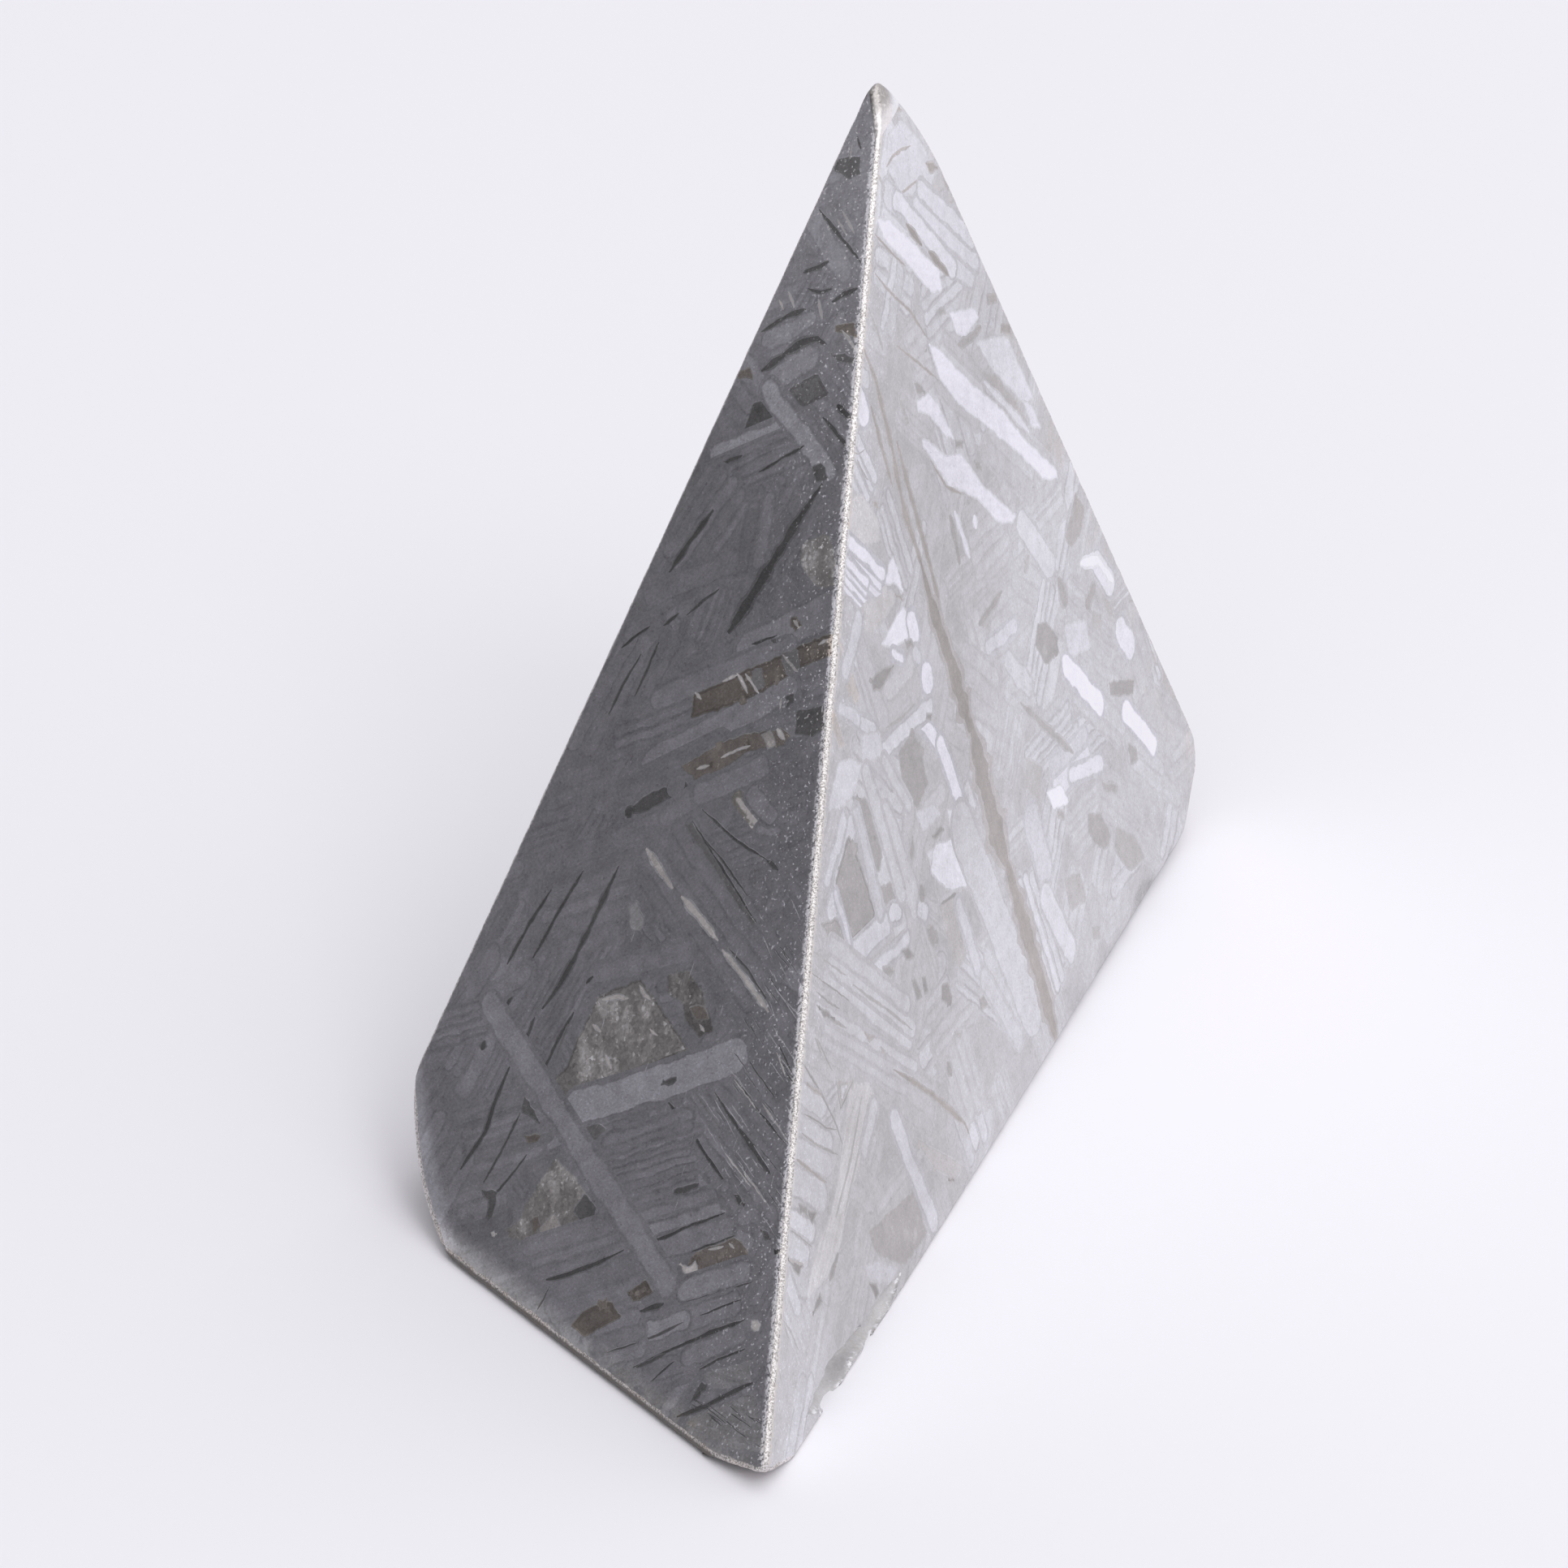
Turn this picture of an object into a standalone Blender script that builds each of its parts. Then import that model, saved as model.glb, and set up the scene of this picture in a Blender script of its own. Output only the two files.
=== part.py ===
# Sawn and etched piece of an iron meteorite: a leaning three-sided point on a flat base.
# Four saw cuts meet in a sharp upright ridge, and every sawn edge is worn round.
# One corner keeps the natural rind, and the foot of the right-hand face has broken away.
#
# Sizes are in millimetres from the front foot, where the two etched faces and the base
# would meet: X to the right, Y away from the front, Z up. The finished solid is in metres,
# with its origin in the middle of its box on the ground.

import bpy
import bmesh
import math
from mathutils import Vector, noise

# Corners of the sawn block before wear
front_foot = Vector((0.0, 0.0, 0.0))
left_foot = Vector((-16.1, 21.6, 0.0))
right_foot = Vector((19.4, 53.1, 0.0))
tip = Vector((4.8, 40.0, 41.4))

# Small cuts across the corners, each as distances along the three edges that meet there
rind_from_left_foot = {"up_edge": 4.75, "front_edge": 5.5, "back_edge": 15.0}
facet_from_right_foot = {"up_edge": 2.8, "front_edge": 4.6, "back_edge": 3.0}
facet_from_tip = {"ridge": 3.5, "left_edge": 1.3, "right_edge": 2.4}
undercut_from_front_foot = {"ridge": 1.15, "left_edge": 4.6, "right_edge": 3.2}

# Width of the worn band along each kind of edge
ridge_wear = 0.30
back_edge_wear = 0.30
left_base_wear = 0.75
right_base_wear = 0.20
back_base_wear = 0.40
tip_wear = 0.45
foot_wear = 0.35
rind_wear = 0.80
right_corner_wear = 1.10
wear_steps = 3

# Natural rind on the left corner
rind_grain = 0.45          # spacing of its facets
rind_hollow_depth = 1.1    # deepest of the shallow thumbprints
rind_hollow_size = 2.4     # distance between thumbprints
rind_pit_depth = 0.35
rind_pit_size = 0.8
rind_rim = 0.7             # width of the smooth rim round the rind

# Broken lower edge of the right-hand face: lumps of metal torn out of it
# Each is a distance along the edge from the front foot, a half length, a half height,
# a half depth into the metal, and a height of its middle over the ground
break_lumps = [
    {"along": 8.7, "half_length": 3.0, "half_height": 0.68, "half_depth": 0.95, "middle": 0.72},
    {"along": 12.6, "half_length": 3.2, "half_height": 0.45, "half_depth": 0.7, "middle": 0.5},
]
break_divisions = 4
break_coarse = {"size": 0.55, "depth": 0.42}
break_fine = {"size": 0.17, "depth": 0.16}

metal_colour = (0.42, 0.42, 0.44, 1.0)
metal_roughness = 0.38

to_metres = 0.001
start_size = 160.0         # the raw cube that the saw cuts bring down
flat_enough = 0.999        # cosine under which two faces meet in a real edge


def clear_objects():
    for old in list(bpy.data.objects):
        bpy.data.objects.remove(old, do_unlink=True)


def point_along(start, end, distance):
    return start + (end - start).normalized() * distance


def cut_plane(a, b, c, inside):
    """Point and outward normal of the plane through three points, facing away from inside."""
    normal = (b - a).cross(c - a).normalized()
    if normal.dot(inside - a) > 0.0:
        normal = -normal
    return a, normal


def saw_planes():
    """Every flat side of the piece by name, largest first."""
    middle = (front_foot + left_foot + right_foot + tip) / 4.0
    rind = rind_from_left_foot
    corner = facet_from_right_foot
    top = facet_from_tip
    foot = undercut_from_front_foot
    sides = {
        "left_face": (front_foot, left_foot, tip),
        "right_face": (front_foot, right_foot, tip),
        "back_face": (left_foot, right_foot, tip),
        "base": (front_foot, left_foot, right_foot),
        "rind": (
            point_along(left_foot, tip, rind["up_edge"]),
            point_along(left_foot, front_foot, rind["front_edge"]),
            point_along(left_foot, right_foot, rind["back_edge"]),
        ),
        "right_corner": (
            point_along(right_foot, tip, corner["up_edge"]),
            point_along(right_foot, front_foot, corner["front_edge"]),
            point_along(right_foot, left_foot, corner["back_edge"]),
        ),
        "tip_facet": (
            point_along(tip, front_foot, top["ridge"]),
            point_along(tip, left_foot, top["left_edge"]),
            point_along(tip, right_foot, top["right_edge"]),
        ),
        "foot_undercut": (
            point_along(front_foot, tip, foot["ridge"]),
            point_along(front_foot, left_foot, foot["left_edge"]),
            point_along(front_foot, right_foot, foot["right_edge"]),
        ),
    }
    return {name: cut_plane(a, b, c, middle) for name, (a, b, c) in sides.items()}


def saw_block(planes):
    """A raw cube cut down by each plane in turn, closed again after each cut."""
    block = bmesh.new()
    bmesh.ops.create_cube(block, size=start_size)
    for point, normal in planes.values():
        everything = block.verts[:] + block.edges[:] + block.faces[:]
        cut = bmesh.ops.bisect_plane(
            block, geom=everything, plane_co=point, plane_no=normal, clear_outer=True)
        rim = [item for item in cut["geom_cut"] if isinstance(item, bmesh.types.BMEdge)]
        bmesh.ops.contextual_create(block, geom=rim)
    bmesh.ops.recalc_face_normals(block, faces=block.faces[:])
    return block


def side_of(face, planes):
    """Name of the plane that a face lies in."""
    return max(planes, key=lambda name: planes[name][1].dot(face.normal))


def wear_of_edge(sides):
    """Width of the worn band where two named sides meet."""
    if "rind" in sides:
        return rind_wear
    if "right_corner" in sides:
        return right_corner_wear
    if "tip_facet" in sides:
        return tip_wear
    if "foot_undercut" in sides:
        return foot_wear
    if sides == {"left_face", "right_face"}:
        return ridge_wear
    if sides == {"left_face", "base"}:
        return left_base_wear
    if sides == {"right_face", "base"}:
        return right_base_wear
    if sides == {"back_face", "base"}:
        return back_base_wear
    return back_edge_wear


def mark_wear(block, planes):
    """Give each edge its share of the widest band, for the bevel to read."""
    widest = right_corner_wear
    share = block.edges.layers.float.new("bevel_weight_edge")
    for edge in block.edges:
        sides = {side_of(face, planes) for face in edge.link_faces}
        edge[share] = wear_of_edge(sides) / widest
    return widest


def worn_block(planes):
    """The sawn block as an object, its edges rounded by a weighted bevel."""
    block = saw_block(planes)
    widest = mark_wear(block, planes)
    mesh = bpy.data.meshes.new("meteorite_point")
    block.to_mesh(mesh)
    block.free()
    piece = bpy.data.objects.new("meteorite_point", mesh)
    bpy.context.collection.objects.link(piece)
    bevel = piece.modifiers.new("Worn edges", "BEVEL")
    bevel.limit_method = "WEIGHT"
    bevel.width = widest
    bevel.segments = wear_steps
    bevel.use_clamp_overlap = True
    bpy.context.view_layer.objects.active = piece
    piece.select_set(True)
    bpy.ops.object.modifier_apply(modifier=bevel.name)
    return piece


def looks_along(face, normal):
    return face.normal.dot(normal) > flat_enough


def split_long_edges(mesh, normal, longest):
    """Divide the faces that look along normal until none of their edges is over longest."""
    while True:
        many_sided = [face for face in mesh.faces if looks_along(face, normal) and len(face.verts) > 3]
        bmesh.ops.triangulate(mesh, faces=many_sided)
        edges = [
            edge for edge in mesh.edges
            if edge.calc_length() > longest and any(looks_along(face, normal) for face in edge.link_faces)
        ]
        if not edges:
            return {face for face in mesh.faces if looks_along(face, normal)}
        bmesh.ops.subdivide_edges(mesh, edges=edges, cuts=1)


def rind_relief(place):
    """Depth of the natural surface under the flat of the rind: thumbprints and fine pits."""
    hollows = 0.5 + 0.5 * noise.noise(place / rind_hollow_size)
    pits = abs(noise.noise(place / rind_pit_size + Vector((7.0, 3.0, 1.0))))
    return rind_hollow_depth * hollows + rind_pit_depth * pits


def roughen_rind(piece, planes):
    """Sink the rind's inner points to an uneven natural surface, its rim left in place."""
    normal = planes["rind"][1]
    mesh = bmesh.new()
    mesh.from_mesh(piece.data)
    faces = split_long_edges(mesh, normal, rind_grain * 1.5)
    inside = {vert for face in faces for vert in face.verts}
    rim = {vert for vert in inside if any(face not in faces for face in vert.link_faces)}
    rim_places = [vert.co.copy() for vert in rim]
    for vert in inside - rim:
        to_rim = min((vert.co - place).length for place in rim_places)
        fade = min(to_rim / rind_rim, 1.0)
        vert.co -= normal * rind_relief(vert.co) * fade
    bmesh.ops.triangulate(mesh, faces=[face for face in mesh.faces if len(face.verts) > 4])
    mesh.to_mesh(piece.data)
    mesh.free()


def torn_swell(place, number):
    """How far a lump's surface stands out of its ellipsoid, as a share of its size."""
    shift = Vector((number * 5.0, 0.0, 0.0))
    coarse = noise.noise(place / break_coarse["size"] + shift) * break_coarse["depth"]
    fine = noise.noise(place / break_fine["size"] + shift) * break_fine["depth"]
    return coarse + fine


def break_cutter(number, lump):
    """A lumpy stone-like body, standing where metal was torn out of the lower edge."""
    edge = (right_foot - front_foot).normalized()
    outward = Vector((edge.y, -edge.x, 0.0))
    cutter_mesh = bmesh.new()
    bmesh.ops.create_icosphere(cutter_mesh, subdivisions=break_divisions, radius=1.0)
    for vert in cutter_mesh.verts:
        local = vert.co * (1.0 + torn_swell(vert.co, number))
        vert.co = (
            outward * local.x * lump["half_depth"]
            + edge * local.y * lump["half_length"]
            + Vector((0, 0, 1)) * local.z * lump["half_height"]
            + edge * lump["along"] + Vector((0, 0, lump["middle"]))
        )
    mesh = bpy.data.meshes.new(f"break_cutter_{number}")
    cutter_mesh.to_mesh(mesh)
    cutter_mesh.free()
    cutter = bpy.data.objects.new(f"break_cutter_{number}", mesh)
    bpy.context.collection.objects.link(cutter)
    cutter.hide_render = True
    cutter.display_type = "WIRE"
    return cutter


def break_lower_edge(piece):
    """Tear the lumps out of the foot of the right-hand face."""
    for number, lump in enumerate(break_lumps):
        tear = piece.modifiers.new(f"Broken edge {number}", "BOOLEAN")
        tear.operation = "DIFFERENCE"
        tear.object = break_cutter(number, lump)


def meteorite_iron():
    """Etched nickel-iron: grey, half bright."""
    metal = bpy.data.materials.new("etched_iron")
    metal.use_nodes = True
    shader = metal.node_tree.nodes["Principled BSDF"]
    shader.inputs["Base Color"].default_value = metal_colour
    shader.inputs["Metallic"].default_value = 1.0
    shader.inputs["Roughness"].default_value = metal_roughness
    return metal


def stand_on_origin(piece):
    """Bring the piece and its cutters to metres, the middle of the box on the ground at the origin."""
    corners = [vert.co for vert in piece.data.vertices]
    middle = Vector((
        (min(c.x for c in corners) + max(c.x for c in corners)) / 2.0,
        (min(c.y for c in corners) + max(c.y for c in corners)) / 2.0,
        min(c.z for c in corners),
    ))
    for item in bpy.data.objects:
        for vert in item.data.vertices:
            vert.co = (vert.co - middle) * to_metres


def build():
    clear_objects()
    planes = saw_planes()
    piece = worn_block(planes)
    roughen_rind(piece, planes)
    break_lower_edge(piece)
    stand_on_origin(piece)
    piece.data.materials.append(meteorite_iron())
    piece.data.shade_smooth()
    piece.data.set_sharp_from_angle(angle=math.radians(25.0))


build()
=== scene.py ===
# Etched and worn point of iron meteorite, standing on a pale studio floor.
# The flat saw cuts are divided along the bars of the etch, and every bar keeps its own tone.

import math
from functools import partial

import bmesh
import bpy
import numpy as np
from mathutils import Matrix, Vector, noise
from mathutils.geometry import delaunay_2d_cdt


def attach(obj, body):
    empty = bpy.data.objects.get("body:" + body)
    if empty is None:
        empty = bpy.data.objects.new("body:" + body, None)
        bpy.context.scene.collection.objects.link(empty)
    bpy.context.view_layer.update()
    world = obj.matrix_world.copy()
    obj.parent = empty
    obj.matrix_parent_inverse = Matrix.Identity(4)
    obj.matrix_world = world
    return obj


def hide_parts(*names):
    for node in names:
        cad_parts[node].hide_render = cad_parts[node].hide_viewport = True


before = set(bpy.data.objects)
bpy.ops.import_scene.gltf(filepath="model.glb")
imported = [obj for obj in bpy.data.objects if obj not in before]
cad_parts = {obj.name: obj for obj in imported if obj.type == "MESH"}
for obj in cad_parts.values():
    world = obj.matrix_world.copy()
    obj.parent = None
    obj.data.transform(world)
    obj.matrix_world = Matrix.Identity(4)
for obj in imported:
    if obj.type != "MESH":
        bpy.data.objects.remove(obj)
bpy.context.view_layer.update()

perMetre = 1000.0      # the pattern is worked out in millimetres
print("frame loaded")


# The camera stands where the photo was taken
photo = {
    "pixels": 1932,
    "viewAngle": 10.0,                     # degrees, across and up
    "eye": (-1.392, -302.771, 190.70),     # millimetres
    "lookDown": 30.0,                      # degrees under the horizon
}


def addCamera():
    bpy.ops.object.camera_add(
        location=[x / perMetre for x in photo["eye"]],
        rotation=(math.radians(90.0 - photo["lookDown"]), 0.0, 0.0))
    camera = bpy.context.object
    camera.data.sensor_fit = "AUTO"
    camera.data.angle = math.radians(photo["viewAngle"])
    camera.data.clip_start = 0.01
    camera.data.clip_end = 10.0
    camera.data.dof.use_dof = False
    bpy.context.scene.camera = camera


def photoRay(pixel):
    half = photo["pixels"] / 2.0
    focal = half / math.tan(math.radians(photo["viewAngle"]) / 2.0)
    down = math.radians(photo["lookDown"])
    ahead = Vector((0.0, math.cos(down), -math.sin(down)))
    upward = Vector((0.0, math.sin(down), math.cos(down)))
    aside, above = (pixel[0] - half) / focal, (half - pixel[1]) / focal
    return ahead + Vector((1, 0, 0)) * aside + upward * above


addCamera()
print("camera placed")


# Node helpers: a Value is what a node puts out, and its sums and products are nodes too
class Value:
    def __init__(self, socket):
        self.socket = socket
        self.tree = socket.id_data
        self.isNumber = socket.type == "VALUE"

    def join(self, operation, first, second):
        return (maths if self.isNumber else vectorMaths)(operation, first, second)

    def __add__(self, other):
        return self.join("ADD", self, other)

    def __radd__(self, other):
        return self.join("ADD", other, self)

    def __sub__(self, other):
        return self.join("SUBTRACT", self, other)

    def __rsub__(self, other):
        return self.join("SUBTRACT", other, self)

    def __mul__(self, other):
        return maths("MULTIPLY", self, other) if self.isNumber else scaled(self, other)

    def __truediv__(self, other):
        return maths("DIVIDE", self, other)


def treeOf(values):
    return next(value.tree for value in values if isinstance(value, Value))


def plug(node, inputs):
    for name, value in inputs.items():
        if isinstance(value, Value):
            value.tree.links.new(value.socket, node.inputs[name])
        else:
            node.inputs[name].default_value = value


def newNode(tree, kind, inputs=None, **settings):
    node = tree.nodes.new(kind)
    for name, value in settings.items():
        setattr(node, name, value)
    plug(node, inputs or {})
    return node


def fromNode(tree, kind, output, inputs=None, **settings):
    return Value(newNode(tree, kind, inputs, **settings).outputs[output])


def maths(operation, *values, clamp=False):
    inputs = dict(enumerate(values))
    return fromNode(treeOf(values), "ShaderNodeMath", 0, inputs, operation=operation, use_clamp=clamp)


def vectorMaths(operation, *values):
    inputs = dict(enumerate(values))
    output = "Value" if operation == "DOT_PRODUCT" else "Vector"
    return fromNode(treeOf(values), "ShaderNodeVectorMath", output, inputs, operation=operation)


def scaled(vector, by):
    inputs = {0: vector, "Scale": by}
    return fromNode(treeOf((vector, by)), "ShaderNodeVectorMath", "Vector", inputs, operation="SCALE")


def smoothStep(value, low, high, start=0.0, end=1.0):
    inputs = {"Value": value, "From Min": low, "From Max": high, "To Min": start, "To Max": end}
    return fromNode(value.tree, "ShaderNodeMapRange", "Result", inputs, interpolation_type="SMOOTHSTEP")


def mixValues(share, first, second):
    return fromNode(share.tree, "ShaderNodeMix", 0, {0: share, 2: first, 3: second}, data_type="FLOAT")


def mixColours(share, first, second):
    return fromNode(share.tree, "ShaderNodeMix", 2, {0: share, 6: first, 7: second}, data_type="RGBA")


def noiseOf(place, scale, detail=2.0, roughness=0.5, output="Fac"):
    inputs = {"Vector": place, "Scale": scale, "Detail": detail, "Roughness": roughness}
    return fromNode(place.tree, "ShaderNodeTexNoise", output, inputs)


def partsOf(vector):
    node = newNode(vector.tree, "ShaderNodeSeparateXYZ", {0: vector})
    return [Value(node.outputs[part]) for part in "XYZ"]


def newMaterial(name):
    material = bpy.data.materials.new(name)
    material.use_nodes = True
    tree = material.node_tree
    return material, tree, tree.nodes["Principled BSDF"]


# Pale floor, soft light from the upper right, and a dim room on the left that the left face mirrors
studio = {
    "floorSize": 4.0,
    "floorColour": (0.86, 0.85, 0.89),
    "roomBright": 0.97,
    "roomDim": 0.10,
    "dimTowards": (-0.95, 0.10, 0.28),     # the dark side of the room, which the left face mirrors
    "dimSpan": (0.45, 0.87),
    "skirting": (0.62, 1.12),              # the room's share of light low down and overhead
    "roomTint": (1.0, 0.993, 1.018),
    "seenColour": (0.84, 0.83, 0.87),
    "softBoxes": [
        {"name": "box_right", "place": (0.34, 0.22, 0.66), "size": 0.90, "watts": 1.15},
        {"name": "box_front", "place": (0.20, -0.34, 0.44), "size": 0.20, "watts": 0.42},
    ],
}


def addFloor():
    bpy.ops.mesh.primitive_plane_add(size=studio["floorSize"])
    floor = bpy.context.object
    floor.name = "pale_floor"
    material, tree, shader = newMaterial("palePaper")
    mottle = noiseOf(fromNode(tree, "ShaderNodeTexCoord", "Object"), 9.0, 3.0)
    pale = (*studio["floorColour"], 1.0)
    shade = [0.985 * x for x in studio["floorColour"]] + [1.0]
    colour = mixColours(mottle, pale, shade)
    plug(shader, {"Base Color": colour, "Roughness": 0.85, "Specular IOR Level": 0.2})
    floor.data.materials.append(material)


def addSoftBoxes():
    for box in studio["softBoxes"]:
        away = Vector(box["place"])
        bpy.ops.object.light_add(type="AREA", location=away)
        light = bpy.context.object
        light.name = box["name"]
        light.data.shape = "DISK"
        light.data.size = box["size"]
        light.data.energy = box["watts"]
        light.rotation_euler = away.to_track_quat("Z", "Y").to_euler()


def addRoom():
    world = bpy.data.worlds.new("soft_room")
    world.use_nodes = True
    bpy.context.scene.world = world
    tree = world.node_tree
    way = fromNode(tree, "ShaderNodeTexCoord", "Generated")
    dim = smoothStep(vectorMaths("DOT_PRODUCT", way, studio["dimTowards"]), *studio["dimSpan"])
    level = mixValues(dim, studio["roomBright"], studio["roomDim"])
    level = level * smoothStep(partsOf(way)[2], 0.05, 0.75, *studio["skirting"])
    seen = fromNode(tree, "ShaderNodeLightPath", "Is Camera Ray")
    colour = mixColours(seen, scaled(studio["roomTint"], level), (*studio["seenColour"], 1.0))
    plug(tree.nodes["Background"], {"Color": colour, "Strength": 1.0})
    bpy.context.scene.view_settings.view_transform = "Standard"


addFloor()
addSoftBoxes()
addRoom()
print("floor and light ready")


# The piece starts as a copy of the sawn solid, its triangles joined into flats again
def copyOfSolid():
    bpy.ops.object.select_all(action="DESELECT")
    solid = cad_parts["meteorite_point"]
    solid.select_set(True)
    bpy.context.view_layer.objects.active = solid
    bpy.ops.object.duplicate()
    piece = bpy.context.object
    piece.name = "etched_meteorite"
    piece.data.name = "etched_meteorite"
    for word in list(piece.keys()):
        del piece[word]
    piece.data.materials.clear()
    bpy.ops.object.mode_set(mode="EDIT")
    bpy.ops.mesh.select_all(action="SELECT")
    bpy.ops.mesh.remove_doubles(threshold=1e-7)
    bpy.ops.mesh.dissolve_limited(angle_limit=math.radians(0.3))
    bpy.ops.object.mode_set(mode="OBJECT")
    return piece


# How each kind of mark in the etch looks: tone is how much light it gives back, brown how rusty
# it is (below zero: bluish), edge how dark its outline, fleck how many bright crystals it shows,
# comb how deep its fine lines are, matt how dull it is, and deep how far it lies under the face
def look(tone, brown=0.0, edge=0.0, fleck=0.0, comb=0.0, matt=0.43, deep=0.0):
    return dict(tone=tone, brown=brown, edge=edge, fleck=fleck, comb=comb, matt=matt, deep=deep)


etchLooks = {
    "ground": look(0.62, brown=-0.05, comb=0.08),
    "calm": look(0.63, brown=-0.12, edge=0.20, comb=0.12),
    "plain": look(0.655, brown=-0.25, edge=0.45, comb=0.14),
    "plate": look(0.68, brown=-0.35, edge=0.65, comb=0.14),
    "soft": look(0.665, brown=-0.22, edge=0.20, comb=0.10),
    "bar": look(0.70, brown=-0.40, edge=0.30, comb=0.08),
    "blue": look(0.74, brown=-0.80, edge=0.30, comb=0.08),
    "pale": look(0.69, brown=-0.40, edge=0.12, comb=0.10),
    # painted sheen: white marks stand for bars that glint, their glint painted into their tone
    "white": look(0.78, brown=-0.65, edge=0.03, comb=0.30, matt=0.40),
    "dull": look(0.50, brown=0.12, comb=0.06, deep=0.006),
    "speckled": look(0.56, brown=0.24, fleck=1.0),
    "brown": look(0.50, brown=0.80, fleck=0.25, deep=0.006),
    "dark": look(0.42, brown=0.12, deep=0.008),
    "line": look(0.37, brown=0.12, deep=0.008),
    "faint": look(0.55, brown=0.10),
    "tan": look(0.52, brown=0.45, fleck=0.05, comb=0.30, deep=0.006),
    "beige": look(1.25, brown=0.40, fleck=0.70),
    "streaks": look(0.66, brown=0.10, comb=0.55),
    "scratch": look(1.0, brown=0.10, fleck=0.3),
}


# Marks are placed by pixels of the photo, later ones over earlier ones.
# A bar runs between two ends, bars lie side by side, a field has corners, a line has points.
def bar(look, start, end, width, bend=0.0, tone=None):
    return dict(kind="bar", look=look, start=start, end=end, width=width, bend=bend, tone=tone)


def bars(look, start, end, width, count):
    return dict(kind="bars", look=look, start=start, end=end, width=width, count=count)


def field(look, *corners, rim=0.0, tone=None, along=None):
    return dict(kind="field", look=look, corners=corners, rim=rim, tone=tone, along=along)


def scratches(look, count, long, start, end, *corners):
    return dict(kind="scratches", look=look, count=count, long=long, start=start, end=end, corners=corners)


def line(look, width, *points, tone=None):
    widths = width if isinstance(width, tuple) else (width, width)
    return dict(kind="line", look=look, widths=widths, points=points, tone=tone)


# The commonest marks have names of their own
groove = partial(line, "line")
seam = partial(line, "beige")
haze = partial(line, "faint")
trace = partial(line, "tan")
cell = partial(field, "dull")
pit = partial(field, "dark")
rust = partial(field, "brown")
veil = partial(field, "faint")
patch = partial(field, "pale")
beam = partial(bar, "bar")
plate = partial(bar, "plate")
# the white bars, whose glint is a painted sheen in their tone
glint = partial(bar, "white")

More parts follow.
